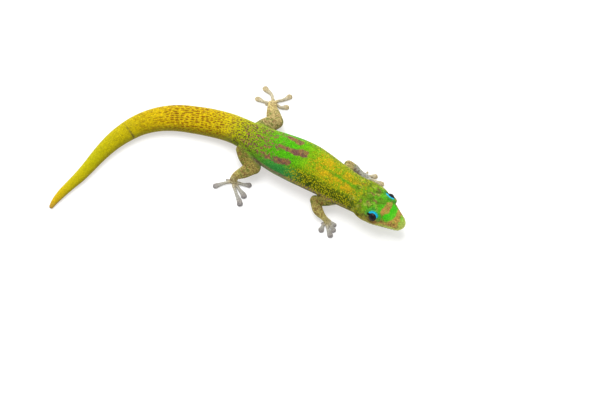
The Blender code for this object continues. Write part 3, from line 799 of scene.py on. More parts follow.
def open_lids(p):
    """Sinks the skin inside the lids behind the eyes, with a fold round each brow."""
    for _, centre, gaze in eye_places():
        _, along, flat = round_axis(p, centre, gaze)
        across = np.linalg.norm(flat, axis=1)
        ball = np.sqrt(np.maximum(EYE_RADIUS ** 2 - across ** 2, 0)) - EYE_BEHIND
        open_share = ramp(EYE_OPENING + 0.05, EYE_OPENING - 0.08, across) * (along > 0)
        p = p + gaze * (open_share * np.minimum(ball - along, 0))[:, None]
        fold = bump(across - LID_FOLD[0], LID_FOLD[1]) * (along > -0.2) * ramp(-0.3, 0.4, along)
        p = p - gaze * (LID_FOLD[2] * fold)[:, None]
    return p


def shape_head(points):
    forward, out, height = head_places(points)
    near = (forward > -2.0) & (np.abs(out) < 8)
    p = points[near]
    inward = head_point(7.5, 0, 0) - p
    inward /= np.linalg.norm(inward, axis=1, keepdims=True)
    p = shape_face(p, forward[near], out[near], height[near], inward)
    points[near] = open_lids(shape_pits(p, inward))
    return points


points = shape_head(points)
write_points(skin.data, points)
print("head shaped")

# %% [markdown]
# ## Thinning the net
# Skin is plain on the back and full of small forms on the face. A coarser net from the start would
# lose the lids and nostrils. Thinning afterwards keeps them, because the head is told to give up few
# of its points.

# %% Thinning
SKIN_TRIANGLES = 190000
HEAD_WEIGHT = 0.12  # how readily the head is thinned, against 1 for the rest


def thin(obj, triangles):
    """Fewer triangles where the skin is plain, with the head kept fine."""
    forward, out, _ = head_places(read_points(obj.data))
    head = (forward > -0.5) & (np.abs(out) < 7)
    keep = obj.vertex_groups.new(name="plain")
    for chosen, weight in ((head, HEAD_WEIGHT), (~head, 1.0)):
        keep.add(np.flatnonzero(chosen).tolist(), weight, "REPLACE")
    less = obj.modifiers.new("Thin", "DECIMATE")
    less.ratio = triangles / (2.0 * len(obj.data.polygons))
    less.vertex_group = "plain"
    less.use_collapse_triangulate = True
    flatten_modifiers(obj)
    obj.vertex_groups.clear()


thin(skin, SKIN_TRIANGLES)
points = read_points(skin.data)
print("skin triangles:", len(skin.data.polygons))

# %% [markdown]
# ## Where each point lies on the animal
# Markings and scales follow the body, not the room. So each point is given its distance along the
# spine, the angle round it from the middle of the back, whether it is on a limb and how far down that
# limb it is. A view from the camera could place the markings too, but they would be wrong behind.

# %% Survey
# Shares of the way from the root of a limb to a toe tip at which each length starts and ends.
REACH = {"upper": (0.0, 0.38), "lower": (0.38, 0.74), "toe": (0.74, 1.0)}
# A point isn't on a limb where it is further than this from the box round the limb's line, or at
# more than so many times the limb's radius.
LIMB_ROOM, LIMB_SHARE = 3.2, 9.0


def survey(points):
    """The place of each point on the body, as one array for each measure."""
    distance, turn, share = locate(spine, points)
    around = np.degrees(np.pi / 2 - turn)
    around = -((around + 180) % 360 - 180)  # to the animal's right is positive
    _, ahead, _, _ = spine.frames(distance)
    place = dict(s=distance, around=around, lie=-ahead, limb=ramp(1.03, 1.28, share),
                 reach=np.zeros(len(points)), limb_turn=np.zeros(len(points)),
                 kind=np.zeros(len(points), int), tube=np.zeros(len(points), int))
    best = np.full(len(points), LIMB_SHARE)
    for index, tube in enumerate(tubes):
        if tube["kind"] == "spine":
            continue
        line = tube["line"]
        low, high = line.rows[:, :3].min(0) - LIMB_ROOM, line.rows[:, :3].max(0) + LIMB_ROOM
        near = np.all((points > low) & (points < high), axis=1) & (share > 0.9)
        near = np.flatnonzero(near)
        if not len(near):
            continue
        along, limb_turn, limb_radius = locate(line, points[near])
        better = limb_radius < best[near]
        near, along = near[better], along[better]
        best[near] = limb_radius[better]
        start, end = REACH[tube["kind"]]
        place["reach"][near] = start + (end - start) * np.clip(along / tube["end"], 0, 1)
        place["limb_turn"][near] = limb_turn[better]
        place["tube"][near] = index
        place["kind"][near] = 2 if tube["kind"] == "toe" else 1
        on_limb = place["limb"][near] > 0.5
        place["lie"][near[on_limb]] = line.frames(along)[1][on_limb]
    place["limb"] = np.where(place["kind"] == 0, 0.0, place["limb"])
    return place


skin_place = survey(points)
print("skin surveyed, share on limbs:", round(float((skin_place["limb"] > 0.5).mean()), 2))

# %% [markdown]
# ## The markings
# A gold dust day gecko is bright green, dusted with gold from the nape to the shoulders. Two brown
# bars cross the snout and three long red drops lie on the lower back, which turns into fine dark
# netting over the hips and into streaks on the golden tail. Each marking is a mask: a number from 0
# to 1 at each point, drawn by distance along the spine and round it. An image could hold them too,
# but masks follow the body and can be changed by moving one number. In the functions below, places
# are millimetres along the spine from the tail tip, or degrees round it from the middle of the back.

# %% Shapes of marks
MARK_EDGE = 0.16  # half the width of the soft edge of a red drop or a snout bar


def body_radius(s):
    """A mean radius of the body, which turns degrees round it into millimetres."""
    rows = spine.frames(s)[0]
    return np.sqrt((rows[:, 3] ** 2 + rows[:, 4] ** 2) / 2)


def between(value, low, high, edge):
    """1 between two places, with soft edges."""
    return ramp(low - edge, low + edge, value) * ramp(high + edge, high - edge, value)


def drop(s, arc, start, end):
    """A long mark between two places, each with its own half width."""
    (s1, a1, r1), (s2, a2, r2) = start, end
    step = np.array((s2 - s1, a2 - a1))
    t = ((s - s1) * step[0] + (arc - a1) * step[1]) / max(float(step @ step), 1e-9)
    t = np.clip(t, 0, 1)
    away = np.hypot(s - s1 - t * step[0], arc - a1 - t * step[1]) - (r1 + t * (r2 - r1))
    return ramp(MARK_EDGE, -MARK_EDGE, away)


def dots(u, v, cell, radius, chance, seed, stray=0.32, stagger=0.0, long=1.0):
    """Dots at places that stray from an even grid, one at most in each cell.

    The rows can be staggered against one another, and the dots drawn out along them.
    """
    u, v = u / cell, v / cell
    seeds = np.full(len(u), seed)
    best = np.zeros(len(u))
    for dv in (-1, 0, 1):
        row = np.floor(v).astype(np.int64) + dv
        shifted = u + stagger * lattice(np.stack([row, 0 * row, seeds], axis=1), 5)
        for du in (-1, 0, 1):
            column = np.floor(shifted).astype(np.int64) + du
            cells = np.stack([column, row, seeds], axis=1)
            x = column + 0.5 + stray * lattice(cells, 1)
            y = row + 0.5 + stray * lattice(cells, 2)
            size = radius / cell * (1 + 0.3 * lattice(cells, 3))
            there = lattice(cells, 4) < 2 * chance - 1
            away = np.hypot((shifted - x) / long, v - y)
            best = np.maximum(best, ramp(1.15, 0.75, away / size) * there)
    return best


def measures(points, place):
    """What the marks are drawn by, in millimetres and degrees, with a little wandering."""
    radius = body_radius(place["s"])
    wander = np.stack([noise(points, 1.1, 11), noise(points, 1.1, 12)], axis=1) * 0.22
    wander += np.stack([noise(points, 0.5, 13), noise(points, 0.5, 14)], axis=1) * 0.22
    flat_arc = np.radians(place["around"]) * radius
    return SimpleNamespace(points=points, s=place["s"], around=place["around"],
                           side=np.abs(place["around"]), trunk=1 - place["limb"], flat_arc=flat_arc,
                           su=place["s"] + wander[:, 0], arc=flat_arc + wander[:, 1],
                           stray=wander[:, 1])


print("radius of the body at the hips:", round(float(body_radius([76.0])[0]), 2))

# %% Red marks of back and crown
# Each drop: distance along the spine, degrees from the middle and half width, at its two ends.
BACK_DROPS = [
    ((86.3, 5, 0.45), (92.0, 6, 0.85)), ((92.0, 4, 0.95), (94.3, -1, 1.15)),
    ((92.8, -5, 0.7), (94.3, -6, 0.8)),
    ((87.3, -37, 0.9), (91.2, -30, 1.1)),
    ((87.4, 46, 0.92), (88.4, 44, 0.95)), ((89.4, 42, 0.8), (91.0, 38, 0.92)),
    ((84.4, 49, 0.65), (85.3, 48, 0.6)), ((83.0, 46, 0.45), (83.5, 44, 0.42)),
    ((86.6, 18, 0.35), (86.9, 18, 0.35)), ((83.8, 20, 0.35), (84.4, 20, 0.35)),
    ((82.5, 22, 0.3), (83.0, 23, 0.3)),
]
CROWN_SMUDGES = [((118.7, -18, 0.35), (119.6, -14, 0.35)), ((117.2, -6, 0.3), (118.3, -5, 0.35)),
                 ((119.0, 7, 0.3), (120.0, 8, 0.3)), ((118.0, 22, 0.35), (119.0, 27, 0.35)),
                 ((116.0, 34, 0.3), (116.4, 36, 0.3)), ((117.6, -34, 0.3), (118.6, -30, 0.35))]
CROWN_RADIUS = 5.0


def all_drops(at, pairs, radius_at, arc):
    """The strongest of several drops."""
    best = np.zeros(len(at.s))
    for pair in pairs:
        start, end = ((s, math.radians(angle) * radius_at(s), half) for s, angle, half in pair)
        best = np.maximum(best, drop(at.su, arc, start, end))
    return best


def red_marks(at):
    """The red drops with the specks of the hips, their plum cores, and the crown's smudges."""
    red = all_drops(at, BACK_DROPS, lambda s: float(body_radius([s])[0]), at.arc)
    red *= 0.92 + 0.2 * noise(at.points, 0.55, 15)
    hips = between(at.s, 74.0, 87.0, 1.5) * ramp(68, 48, at.side)
    red = np.maximum(red, 0.95 * hips * dots(at.su, at.arc, 1.0, 0.31, 0.8, 5))
    plum = red * ramp(0.05, 0.45, noise(at.points, 0.8, 16))
    smudge = all_drops(at, CROWN_SMUDGES, lambda s: CROWN_RADIUS,
                       np.radians(at.around) * CROWN_RADIUS + at.stray)
    return np.clip(red + 0.75 * smudge, 0, 1), plum


print("red drops:", len(BACK_DROPS), "crown smudges:", len(CROWN_SMUDGES))

# %% Bars of the snout
# Their back and front edges along the spine at angles round the head.
BAR_ANGLES = (-70, -45, -30, -15, 0, 15, 30, 45, 70)
BACK_BAR = ((124.2, 123.8, 122.9, 122.6, 123.0, 122.5, 123.1, 123.9, 124.2),
            (123.2, 123.5, 124.0, 124.3, 124.8, 124.6, 124.2, 123.5, 123.2))
FRONT_BAR = ((126.3, 126.2, 126.4, 126.6, 126.8, 126.8, 127.0, 126.2, 126.2),
             (128.3, 128.2, 128.2, 128.3, 128.9, 129.0, 129.0, 129.0, 128.8))


def snout_bars(at):
    """Two bars across the snout, and the brown band before each eye."""
    angle = np.clip(at.around, BAR_ANGLES[0], BAR_ANGLES[-1])
    bars = np.zeros(len(at.s))
    for low, high in (BACK_BAR, FRONT_BAR):
        bars = np.maximum(bars, between(at.su, np.interp(angle, BAR_ANGLES, low),
                                        np.interp(angle, BAR_ANGLES, high), MARK_EDGE))
    bars *= ramp(84, 74, at.side) * (at.s > 120)
    before_eye = between(at.su, 122.6, 129.3, 0.3) * between(at.side, 50, 82, 7)
    before_eye *= 1 - between(at.su, 124.2, 126.2, 0.3) * ramp(60, 52, at.side)
    return np.maximum(bars, 0.9 * before_eye) * (0.85 + 0.3 * noise(at.points, 0.7, 22))


print("snout bars lie from", min(BACK_BAR[0]), "to", max(FRONT_BAR[1]), "mm")

# %% Streaks of the tail
# Distance along the spine, and the number of streaks that follow one another up to there.
STREAK_COUNTS = [(30, 0.0), (46, 7.2), (60, 15.8), (70, 24.0), (88, 44.0)]
STREAK_ROW = 0.64
RING_PLACE = 34.5  # where the tail has grown back


def tail_marks(at):
    """Streaks that turn into netting towards the hips, with the ring of the regrown end."""
    s, side = at.s, at.side
    counted = np.interp(s, *np.array(STREAK_COUNTS).T)
    streaks = dots(counted * STREAK_ROW, at.flat_arc + 0.25 * noise(at.points, 1.6, 30),
                   STREAK_ROW, 0.18, 0.95, 31, 0.22, stagger=1.0, long=1.4)
    streaks *= between(s, 37.0, 82.0, 3.0) * ramp(106, 72, side) * (0.5 + 0.5 * ramp(40, 52, s))
    streaks *= 1 - ramp(-34, -54, at.around) * ramp(58, 66, s)
    at_root = ramp(64.0, 73.0, s)
    ring = bump(s - RING_PLACE - 0.25 * noise(at.points, 1.5, 35), 0.26)
    ring *= noise(at.points, 0.9, 36) > -0.35
    ring *= ramp(120, 90, side) * (0.3 + 0.5 * ramp(-15, 25, at.around))
    return np.maximum(streaks * at_root, ring), streaks * (1 - 0.8 * at_root)


print("streaks along the tail:", round(STREAK_COUNTS[-1][1]))

# %% Gold dust, midline and flanks
FAR_SIDE_SHADE_SHARE = 0.45  # olive and teal are partly painted shade of the near flank; the far flank gets this share


def back_and_flanks(at):
    """The gold and yellow dust, the neck's green line, and flank tints with painted shade and
    highlight.
    """
    s, side = at.s, at.side
    zone = np.where(side < 38, between(s, 97.0, 115.5, 3.0), between(s, 92.0, 117.0, 2.6))
    gold = zone * dots(s, at.flat_arc, 0.6, 0.22, 0.85, 41, 0.3) * ramp(40, 32, side)
    dust = zone * dots(s, at.flat_arc, 0.54, 0.2, 0.95, 42, 0.26)
    dust *= ramp(30, 38, side) * ramp(108, 92, side)
    glow = between(s, 100.0, 114.0, 3.0) * between(side, 5, 32, 7)
    glow *= 0.45 + 0.8 * noise(at.points, 1.8, 43)
    midline = bump(at.arc - 0.4, 0.45 + 0.5 * ramp(110, 115, s)) * between(s, 101.0, 114.0, 1.5)
    midline *= 0.45 + 0.55 * ramp(103.0, 107.0, s)
    # painted shade: olive and teal are partly the flanks' own and partly shade, full on the near
    # flank
    near_shade_share = np.where(at.around < 0, FAR_SIDE_SHADE_SHARE, 1.0)
    return dict(
        gold=gold, dust=dust, glow=glow, midline=midline,
        # painted highlight: a paler green along the lower far flank, where the light from behind
        # falls
        far_highlight=ramp(-36, -70, at.around) * between(s, 38.0, 117.0, 4.0),
        teal=between(s, 84.5, 95.5, 3.5) * between(side, 48, 86, 10) * near_shade_share,
        olive=between(s, 93.0, 115.5, 3.5) * between(side, 40, 105, 12) * near_shade_share,
        band=between(s, 76.0, 113.0, 3.0) * between(side, 84, 98, 7))


print("share of the far side's tints:", FAR_SIDE_SHADE_SHARE)

# %% Marks round the eyes
CORNER_PLACE = (1.45, 0.08)  # the dark rear corner: how far behind and above the middle of the eye
CORNER_HALF = (0.62, 0.4)  # half its length and half its height


def eye_marks(at):
    """Blue and green lids above, brown below, dark specks about, and the dark rear corner."""
    best = {}
    for _, centre, gaze in eye_places():
        offset, along, flat = round_axis(at.points, centre, gaze)
        across = np.linalg.norm(flat, axis=1)
        rise = UP - (UP @ gaze) * gaze
        rise /= np.linalg.norm(rise)
        upper = (flat @ rise) / np.maximum(across, 1e-6)
        front = (flat @ AHEAD) / np.maximum(across, 1e-6)
        close = ramp(-0.2, 0.3, along) * ramp(4.0, 3.0, np.linalg.norm(offset, axis=1))
        rim = ramp(0.1, 0.6, upper - 0.2 * front)
        corner = np.hypot((flat @ AHEAD + CORNER_PLACE[0]) / CORNER_HALF[0],
                          (flat @ rise - CORNER_PLACE[1]) / CORNER_HALF[1])
        corner = ramp(1.15, 0.8, corner) * close
        found = dict(
            blue=ramp(0.08, -0.08, across - EYE_OPENING - 0.64 * rim) * (rim > 0.02) * close,
            lids=between(across, 1.1, 2.6, 0.25) * close * ramp(-0.5, 0.1, upper) * (1 - corner),
            specks=between(across, 1.75, 2.9, 0.25) * close,
            brown=between(across, 1.0, 2.1, 0.2) * close * ramp(0.0, -0.5, upper),
            corner=corner)
        best = {name: np.maximum(best.get(name, 0.0), mask) for name, mask in found.items()}
    return best


print("lids open to a radius of", EYE_OPENING, "mm")

# %% Mottling
TUBE_LIMBS = np.array([tube["limb"] for tube in tubes])
LIMB_NAMES = list(LIMBS)


def head_flecks(at, bars):
    """Dark flecks on the snout and along the edges of its bars."""
    specks = dots(at.su, at.arc, 0.62, 0.22, 0.65, 56)
    specks = specks * between(at.s, 121.5, 129.5, 0.5) * ramp(34, 46, at.side)
    specks = np.maximum(specks, 0.6 * bars * dots(at.su, at.arc, 0.58, 0.22, 0.55, 57))
    edging = between(bars, 0.2, 0.7, 0.1) * ramp(-0.1, 0.3, noise(at.points, 0.8, 59))
    return np.maximum(specks, 0.8 * edging)


def mottling(at, place, bars, brown_lids):
    """Moss and brown patches on limbs, nape and crown, and straw ones on the crown."""
    points, s, side = at.points, at.s, at.side
    coarse, mild = noise(points, 0.5, 51), noise(points, 2.2, 52)
    limbs = place["limb"] * ramp(0.95, 0.6, place["reach"])
    nape = between(s, 111.0, 121.0, 2.5) * ramp(100, 70, side) * at.trunk
    crown = between(s, 113.0, 122.6, 1.2) * ramp(98, 80, side) * at.trunk
    brown = ramp(0.15, 0.55, coarse + 0.5 * noise(points, 0.4, 53)) * (0.85 * limbs + 0.15 * nape)
    brown = np.maximum(brown, crown * ramp(0.3, 0.6, noise(points, 1.3, 60)) * 0.5)
    brown = np.maximum(np.maximum(brown, 0.9 * brown_lids),
                       head_flecks(at, bars) * ramp(98, 84, side))
    for sign in (1, -1):
        away = np.linalg.norm(points - side_spot(sign, NOSTRIL_PLACE), axis=1)
        brown = np.maximum(brown, ramp(0.36, 0.24, away))
    moss = ramp(0.05, 0.5, -coarse + 0.4 * mild) * (limbs * ramp(0.72, 0.45, place["reach"])
                                                    + 0.5 * nape)
    winding = np.abs(noise(points, 1.5, 54) + 0.3 * noise(points, 0.6, 55))
    moss = np.maximum(moss, crown * ramp(0.2, 0.06, winding))
    straw = crown * ramp(0.25, 0.6, noise(points, 1.1, 58)) * 0.7
    straw = np.maximum(straw, ramp(128.6, 129.6, s) * (0.5 + 0.5 * coarse))
    return tuple(np.clip(mask, 0, 1) for mask in (moss, brown, straw))


def limb_light_and_frost(place):
    """The far limbs painted lighter as painted light from behind, and the frost on one wrist of them
    and on all the toes.
    """
    left = [number for number, name in enumerate(LIMB_NAMES) if name.endswith("left")]
    limb, number, reach = place["limb"], TUBE_LIMBS[place["tube"]], place["reach"]
    wrist = number == LIMB_NAMES.index("front_left")
    frost = np.maximum(limb * wrist * between(reach, 0.46, 0.8, 0.06),
                       0.4 * limb * between(reach, 0.77, 0.92, 0.03))
    # painted light: the far limbs are made paler where the light from behind falls
    return limb * np.isin(number, left), frost


print("limbs on the far side:", ", ".join(name for name in LIMB_NAMES if name.endswith("left")))

# %% All the masks
def markings(points, place):
    """All the masks for some points of the skin."""
    at = measures(points, place)
    red, plum = red_marks(at)
    bars = snout_bars(at)
    netting, dark = tail_marks(at)
    eyes = eye_marks(at)
    netting = np.maximum(netting, 0.75 * eyes["specks"] * dots(at.su, at.arc, 0.6, 0.22, 0.45, 61))
    moss, brown, straw = mottling(at, place, bars, eyes["brown"])
    far, frost = limb_light_and_frost(place)
    on_trunk = dict(net=netting, straw=straw, plum=plum, red=red, bars=bars, dark=dark,
                    **back_and_flanks(at))
    return dict(
        along=at.s / spine.length, high=np.cos(np.radians(at.around)), limb=place["limb"],
        reach=place["reach"], moss=moss, brown=brown, far=far, frost=frost,
        **{name: mask * at.trunk for name, mask in on_trunk.items()},
        **{name: eyes[name] for name in ("blue", "lids", "corner")})


def store(mesh, values):
    """Keeps arrays on the mesh as named attributes: a number or a vector for each point."""
    for name, numbers in values.items():
        numbers = np.asarray(numbers, np.float32)
        kind, key = ("FLOAT", "value") if numbers.ndim == 1 else ("FLOAT_VECTOR", "vector")
        layer = mesh.attributes.get(name) or mesh.attributes.new(name, kind, "POINT")
        layer.data.foreach_set(key, numbers.ravel())


skin_marks = markings(points, skin_place)
store(skin.data, skin_marks)
print("masks:", ", ".join(skin_marks))

# %% [markdown]
# ## The colours
# One node group turns the masks into a colour, so the skin and the scales agree. The main colours run
# along the body in ramps: one for the back, one for the flanks and one for the belly. The marks are
# then laid over them in turn, and fine noise keeps any patch from looking painted.

# %% Colours
LIGHT_ON_TOP = 1.32  # the light on the back is this much stronger than the white of the picture


def linear(red, green, blue):
    """A colour seen on screen, from 0 to 255, as the linear paint that gives it in this light."""
    values = []
    for channel in (red, green, blue):
        channel /= 255
        value = channel / 12.92 if channel < 0.04045 else ((channel + 0.055) / 1.055) ** 2.4
        values.append(value / LIGHT_ON_TOP)
    return (*values, 1.0)


# Distance along the spine in millimetres, and the colour there.
BACK_COLOURS = [(0, (200, 158, 66)), (2.5, (224, 188, 18)), (9, (210, 194, 6)),
                (20, (198, 192, 3)), (34, (206, 188, 3)), (46, (226, 194, 2)), (60, (222, 192, 3)),
                (69, (210, 194, 8)), (74, (184, 194, 12)), (79, (146, 188, 16)), (85, (98, 194, 10)),
                (91, (90, 200, 8)), (95, (132, 202, 10)), (101, (154, 180, 10)),
                (111, (142, 176, 16)), (116, (134, 180, 26)), (120, (112, 204, 34)),
                (125, (74, 220, 30)), (128.5, (146, 222, 64)), (130.5, (214, 234, 120))]
# The flanks' colours are partly their own and partly painted shade of the lower sides, which get less
# light.
FLANK_AND_SHADE_COLOURS = [(0, (190, 150, 60)), (8, (178, 164, 10)), (34, (168, 158, 6)),
                 (52, (154, 142, 8)), (66, (146, 140, 10)), (74, (124, 146, 16)),
                 (80, (108, 170, 34)), (85, (80, 162, 44)), (92, (60, 150, 40)),
                 (99, (92, 128, 14)), (110, (100, 122, 12)), (118, (164, 154, 48)),
                 (123, (186, 180, 76)), (127, (208, 226, 108)), (130.5, (216, 230, 122))]
BELLY_COLOURS = [(0, (190, 160, 96)), (34, (184, 164, 84)), (66, (186, 166, 112)),
                 (76, (196, 180, 156)), (100, (206, 190, 170)), (116, (204, 196, 148)),
                 (130.5, (196, 204, 130))]
# Share of the way from the root of a limb to a toe tip, and the colour there.
LIMB_COLOURS = [(0.0, (156, 148, 62)), (0.3, (162, 148, 74)), (0.42, (186, 168, 92)),
                (0.6, (202, 188, 110)), (0.72, (198, 186, 144)), (0.84, (190, 182, 162)),
                (0.95, (174, 168, 162)), (1.0, (140, 136, 136))]
print("colours along the back:", len(BACK_COLOURS))

# %% Colours of the marks
# Each mark: its mask, the name of its input, its colour and how strongly it covers. The first list
# lies under the colour of the limbs, and the second over it.
BODY_MARKS = [
    # Far Side Highlight is a painted highlight along the far flank.
    ("far_highlight", "Far Side Highlight", (190, 212, 84), 0.4),
    ("glow", "Gold Wash", (224, 174, 14), 0.75), ("olive", "Olive Side", (60, 78, 8), 0.85),
    ("teal", "Teal Side", (44, 156, 84), 0.55), ("band", "Mauve Band", (160, 126, 108), 0.85),
    ("gold", "Gold Dust", (236, 190, 22), 0.85), ("dust", "Yellow Dust", (204, 198, 18), 0.9),
    ("midline", "Green Line", (96, 176, 14), 0.9), ("net", "Netting", (82, 62, 54), 0.9),
    ("dark", "Dark Marks", (136, 70, 6), 0.9), ("red", "Red Marks", (166, 108, 80), 0.96),
    ("bars", "Snout Bars", (226, 164, 92), 0.9), ("straw", "Straw Flecks", (212, 216, 100), 0.7),
]
OVER_MARKS = [
    # Far Limb Light is painted light on the far limbs, lit from behind.
    ("far", "Far Limb Light", (224, 202, 140), 0.6), ("frost", "Frosted Wrist", (202, 208, 206), 0.75),
    ("moss", "Moss Mottle", (84, 110, 22), 0.7), ("brown", "Brown Mottle", (122, 82, 46), 0.72),
    ("plum", "Plum Cores", (112, 72, 84), 0.65), ("lids", "Green Lids", (70, 184, 70), 0.6),
    ("blue", "Blue Lids", (34, 206, 248), 1.0), ("corner", "Eye Corner", (34, 26, 26), 0.95),
]
MARK_COLOURS = BODY_MARKS + OVER_MARKS
print("marks with a colour:", len(MARK_COLOURS))

# %% Helpers for shader nodes
def fill(tree, socket, value):
    """Sets a socket to a value, or links it to another node's output."""
    if isinstance(value, (int, float, tuple)):
        socket.default_value = value
    else:
        tree.links.new(value, socket)


def add_ramp(tree, stops, factor, length):
    """A colour ramp over a length, driven by a value from 0 to 1."""
    node = tree.nodes.new("ShaderNodeValToRGB")
    elements = node.color_ramp.elements
    while len(elements) > 1:
        elements.remove(elements[-1])
    for index, (where, colour) in enumerate(stops):
        element = elements[0] if index == 0 else elements.new(where / length)
        element.position = where / length
        element.color = linear(*colour)
    fill(tree, node.inputs["Fac"], factor)
    return node.outputs["Color"]


def add_math(tree, operation, *values, clamp=False):
    node = tree.nodes.new("ShaderNodeMath")
    node.operation = operation
    node.use_clamp = clamp
    for socket, value in zip(node.inputs, values):
        fill(tree, socket, value)
    return node.outputs[0]


def add_mix(tree, factor, first, second, blend="MIX"):
    node = tree.nodes.new("ShaderNodeMix")
    node.data_type = "RGBA"
    node.blend_type = blend
    fill(tree, node.inputs["Factor"], factor)
    fill(tree, node.inputs[6], first)  # the two colours of the node
    fill(tree, node.inputs[7], second)
    return node.outputs[2]


def add_noise(tree, scale, detail=2.0, roughness=0.5):
    place = tree.nodes.new("ShaderNodeTexCoord")
    node = tree.nodes.new("ShaderNodeTexNoise")
    set_sockets(node, {"Scale": scale, "Detail": detail, "Roughness": roughness})
    tree.links.new(place.outputs["Object"], node.inputs["Vector"])
    return node.outputs["Fac"]


print("white on screen is paint of", round(linear(255, 255, 255)[0], 2))

# %% The group that colours skin and scales
PATCHES = (700.0, 0.25)  # lumps a metre that blur the edge between back and flank, and how much
GRAIN = 2600.0  # lumps a metre of the fine grain
# A slope and a shift that make a share of a point's height, which is 1 on top and -1 below: that of
# the back's colour over the flank's, and that of the belly's over both.
BACK_SHARE, BELLY_SHARE = (2.0, -0.45), (-2.6, -0.2)
TONE_STRENGTH = 0.6
BASE_INPUTS = ("Along", "High", "Limb", "Reach", "Tone")


def lay_marks(tree, colour, marks, masks):
    """Lays the colours of some marks over another colour, each where its mask says."""
    for _, title, paint, strength in marks:
        share = add_math(tree, "MULTIPLY", masks[title], strength)
        colour = add_mix(tree, share, colour, linear(*paint))
    return colour


def build_markings_group():
    tree = bpy.data.node_groups.new("gecko_markings", "ShaderNodeTree")
    for name in (*BASE_INPUTS, *(title for _, title, *_ in MARK_COLOURS)):
        tree.interface.new_socket(name, in_out="INPUT", socket_type="NodeSocketFloat")
    tree.interface.new_socket("Color", in_out="OUTPUT", socket_type="NodeSocketColor")
    tree.interface.new_socket("Fine Noise", in_out="OUTPUT", socket_type="NodeSocketFloat")
    masks = tree.nodes.new("NodeGroupInput").outputs
    leave = tree.nodes.new("NodeGroupOutput")
    back, flank, belly = (add_ramp(tree, stops, masks["Along"], spine.length)
                          for stops in (BACK_COLOURS, FLANK_AND_SHADE_COLOURS, BELLY_COLOURS))
    limb = add_ramp(tree, LIMB_COLOURS, masks["Reach"], 1.0)
    patchy = add_math(tree, "SUBTRACT", add_noise(tree, PATCHES[0]), 0.5)
    high = add_math(tree, "ADD", masks["High"], add_math(tree, "MULTIPLY", patchy, PATCHES[1]))
    top = add_math(tree, "MULTIPLY_ADD", high, *BACK_SHARE, clamp=True)
    low = add_math(tree, "MULTIPLY_ADD", high, *BELLY_SHARE, clamp=True)
    colour = add_mix(tree, top, flank, back)
    colour = add_mix(tree, low, colour, belly)
    colour = lay_marks(tree, colour, BODY_MARKS, masks)
    colour = add_mix(tree, masks["Limb"], colour, limb)
    colour = lay_marks(tree, colour, OVER_MARKS, masks)
    fine = add_noise(tree, GRAIN, 3.0, 0.6)
    tone = add_math(tree, "ADD", masks["Tone"], add_math(tree, "SUBTRACT", fine, 0.5))
    tone = add_math(tree, "MULTIPLY_ADD", tone, TONE_STRENGTH, 1.0)
    shade = tree.nodes.new("ShaderNodeVectorMath")
    shade.operation = "SCALE"
    tree.links.new(colour, shade.inputs[0])
    tree.links.new(tone, shade.inputs["Scale"])
    tree.links.new(shade.outputs[0], leave.inputs["Color"])
    tree.links.new(fine, leave.inputs["Fine Noise"])
    return tree


markings_group = build_markings_group()
print("markings group:", len(markings_group.nodes), "nodes")

# %% [markdown]
# ## The finish of skin and scales
# A day gecko's scales are dry, with a dull gleam, and the skin between them lies in their shade. A
# bump on one smooth skin could stand for both, but real scales catch the light one by one. So skin
# and scales get two materials from the same colours, and the skin's is the darker and duller one.

# %% Skin material
def add_attribute(tree, name):
    node = tree.nodes.new("ShaderNodeAttribute")
    node.attribute_name = name
    return node.outputs["Fac"]


def marked_material(name, roughness, bump_height, darker=1.0):
    """A material whose colour comes from the masks that its mesh carries."""
    material, tree, shader = new_material(name)
    group = tree.nodes.new("ShaderNodeGroup")
    group.node_tree = markings_group
    sources = [(title.lower(), title) for title in BASE_INPUTS]
    for source, title in sources + [(source, title) for source, title, *_ in MARK_COLOURS]:
        tree.links.new(add_attribute(tree, source), group.inputs[title])
    shade = add_mix(tree, 1.0, group.outputs["Color"], (darker, darker, darker, 1.0), "MULTIPLY")
    tree.links.new(shade, shader.inputs["Base Color"])
    set_sockets(shader, {"Roughness": roughness, "Specular IOR Level": 0.07,
                         "Coat Weight": 0.0, "Coat Roughness": 0.25})
    height = tree.nodes.new("ShaderNodeBump")
    set_sockets(height, {"Strength": 0.5, "Distance": bump_height})
    tree.links.new(group.outputs["Fine Noise"], height.inputs["Height"])
    tree.links.new(height.outputs["Normal"], shader.inputs["Normal"])
    return material


BETWEEN_SCALES = 0.42  # the skin shows only between scales, where less light comes
skin.data.materials.append(marked_material("gecko_skin", 0.55, 0.00006, BETWEEN_SCALES))
store(skin.data, dict(tone=np.zeros(len(skin.data.vertices))))
print("skin material made")

# %% [markdown]
# ## Where the scales grow
# A day gecko's back has small round granules, close together but in no strict order. Points thrown
# on the skin with a least distance between them, then pushed apart a few times, settle into such a
# pattern. The tail and the belly differ: their scales are flat plates in rows, so those are set out
# ring by ring. The skin round the eyes, mouth and nostrils gets rows of its own.

# %% Spacing of the granules
# Distance along the spine, or down a limb, and the spacing of the granules there in millimetres.
BODY_SPACING = [(68, 0.38), (80, 0.37), (100, 0.36), (111, 0.34), (116, 0.31), (122, 0.27),
                (130.5, 0.24)]
LIMB_SPACING = [(0.0, 0.37), (0.38, 0.35), (0.62, 0.31), (0.75, 0.26), (1.0, 0.24)]
THROW_SHARE = 0.78  # least distance between thrown points, as a share of the final spacing
THROW_DENSITY = 12.0  # points thrown into each square of the least distance, before it is kept
SCATTER_BANDS = (0.25, 0.275, 0.305, 0.34, 0.38, 0.42, 0.47)  # one throw for each spacing
RING_END = 70.6  # rows of plates go all the way round the tail up to here
BELLY_END, BELLY_AROUND = 113.5, 122.0  # and only across the belly up to here, past this angle


def spacing_at(place):
    body = np.interp(place["s"], *np.array(BODY_SPACING).T)
    limb = np.interp(place["reach"], *np.array(LIMB_SPACING).T)
    return body + (limb - body) * (place["limb"] > 0.5)


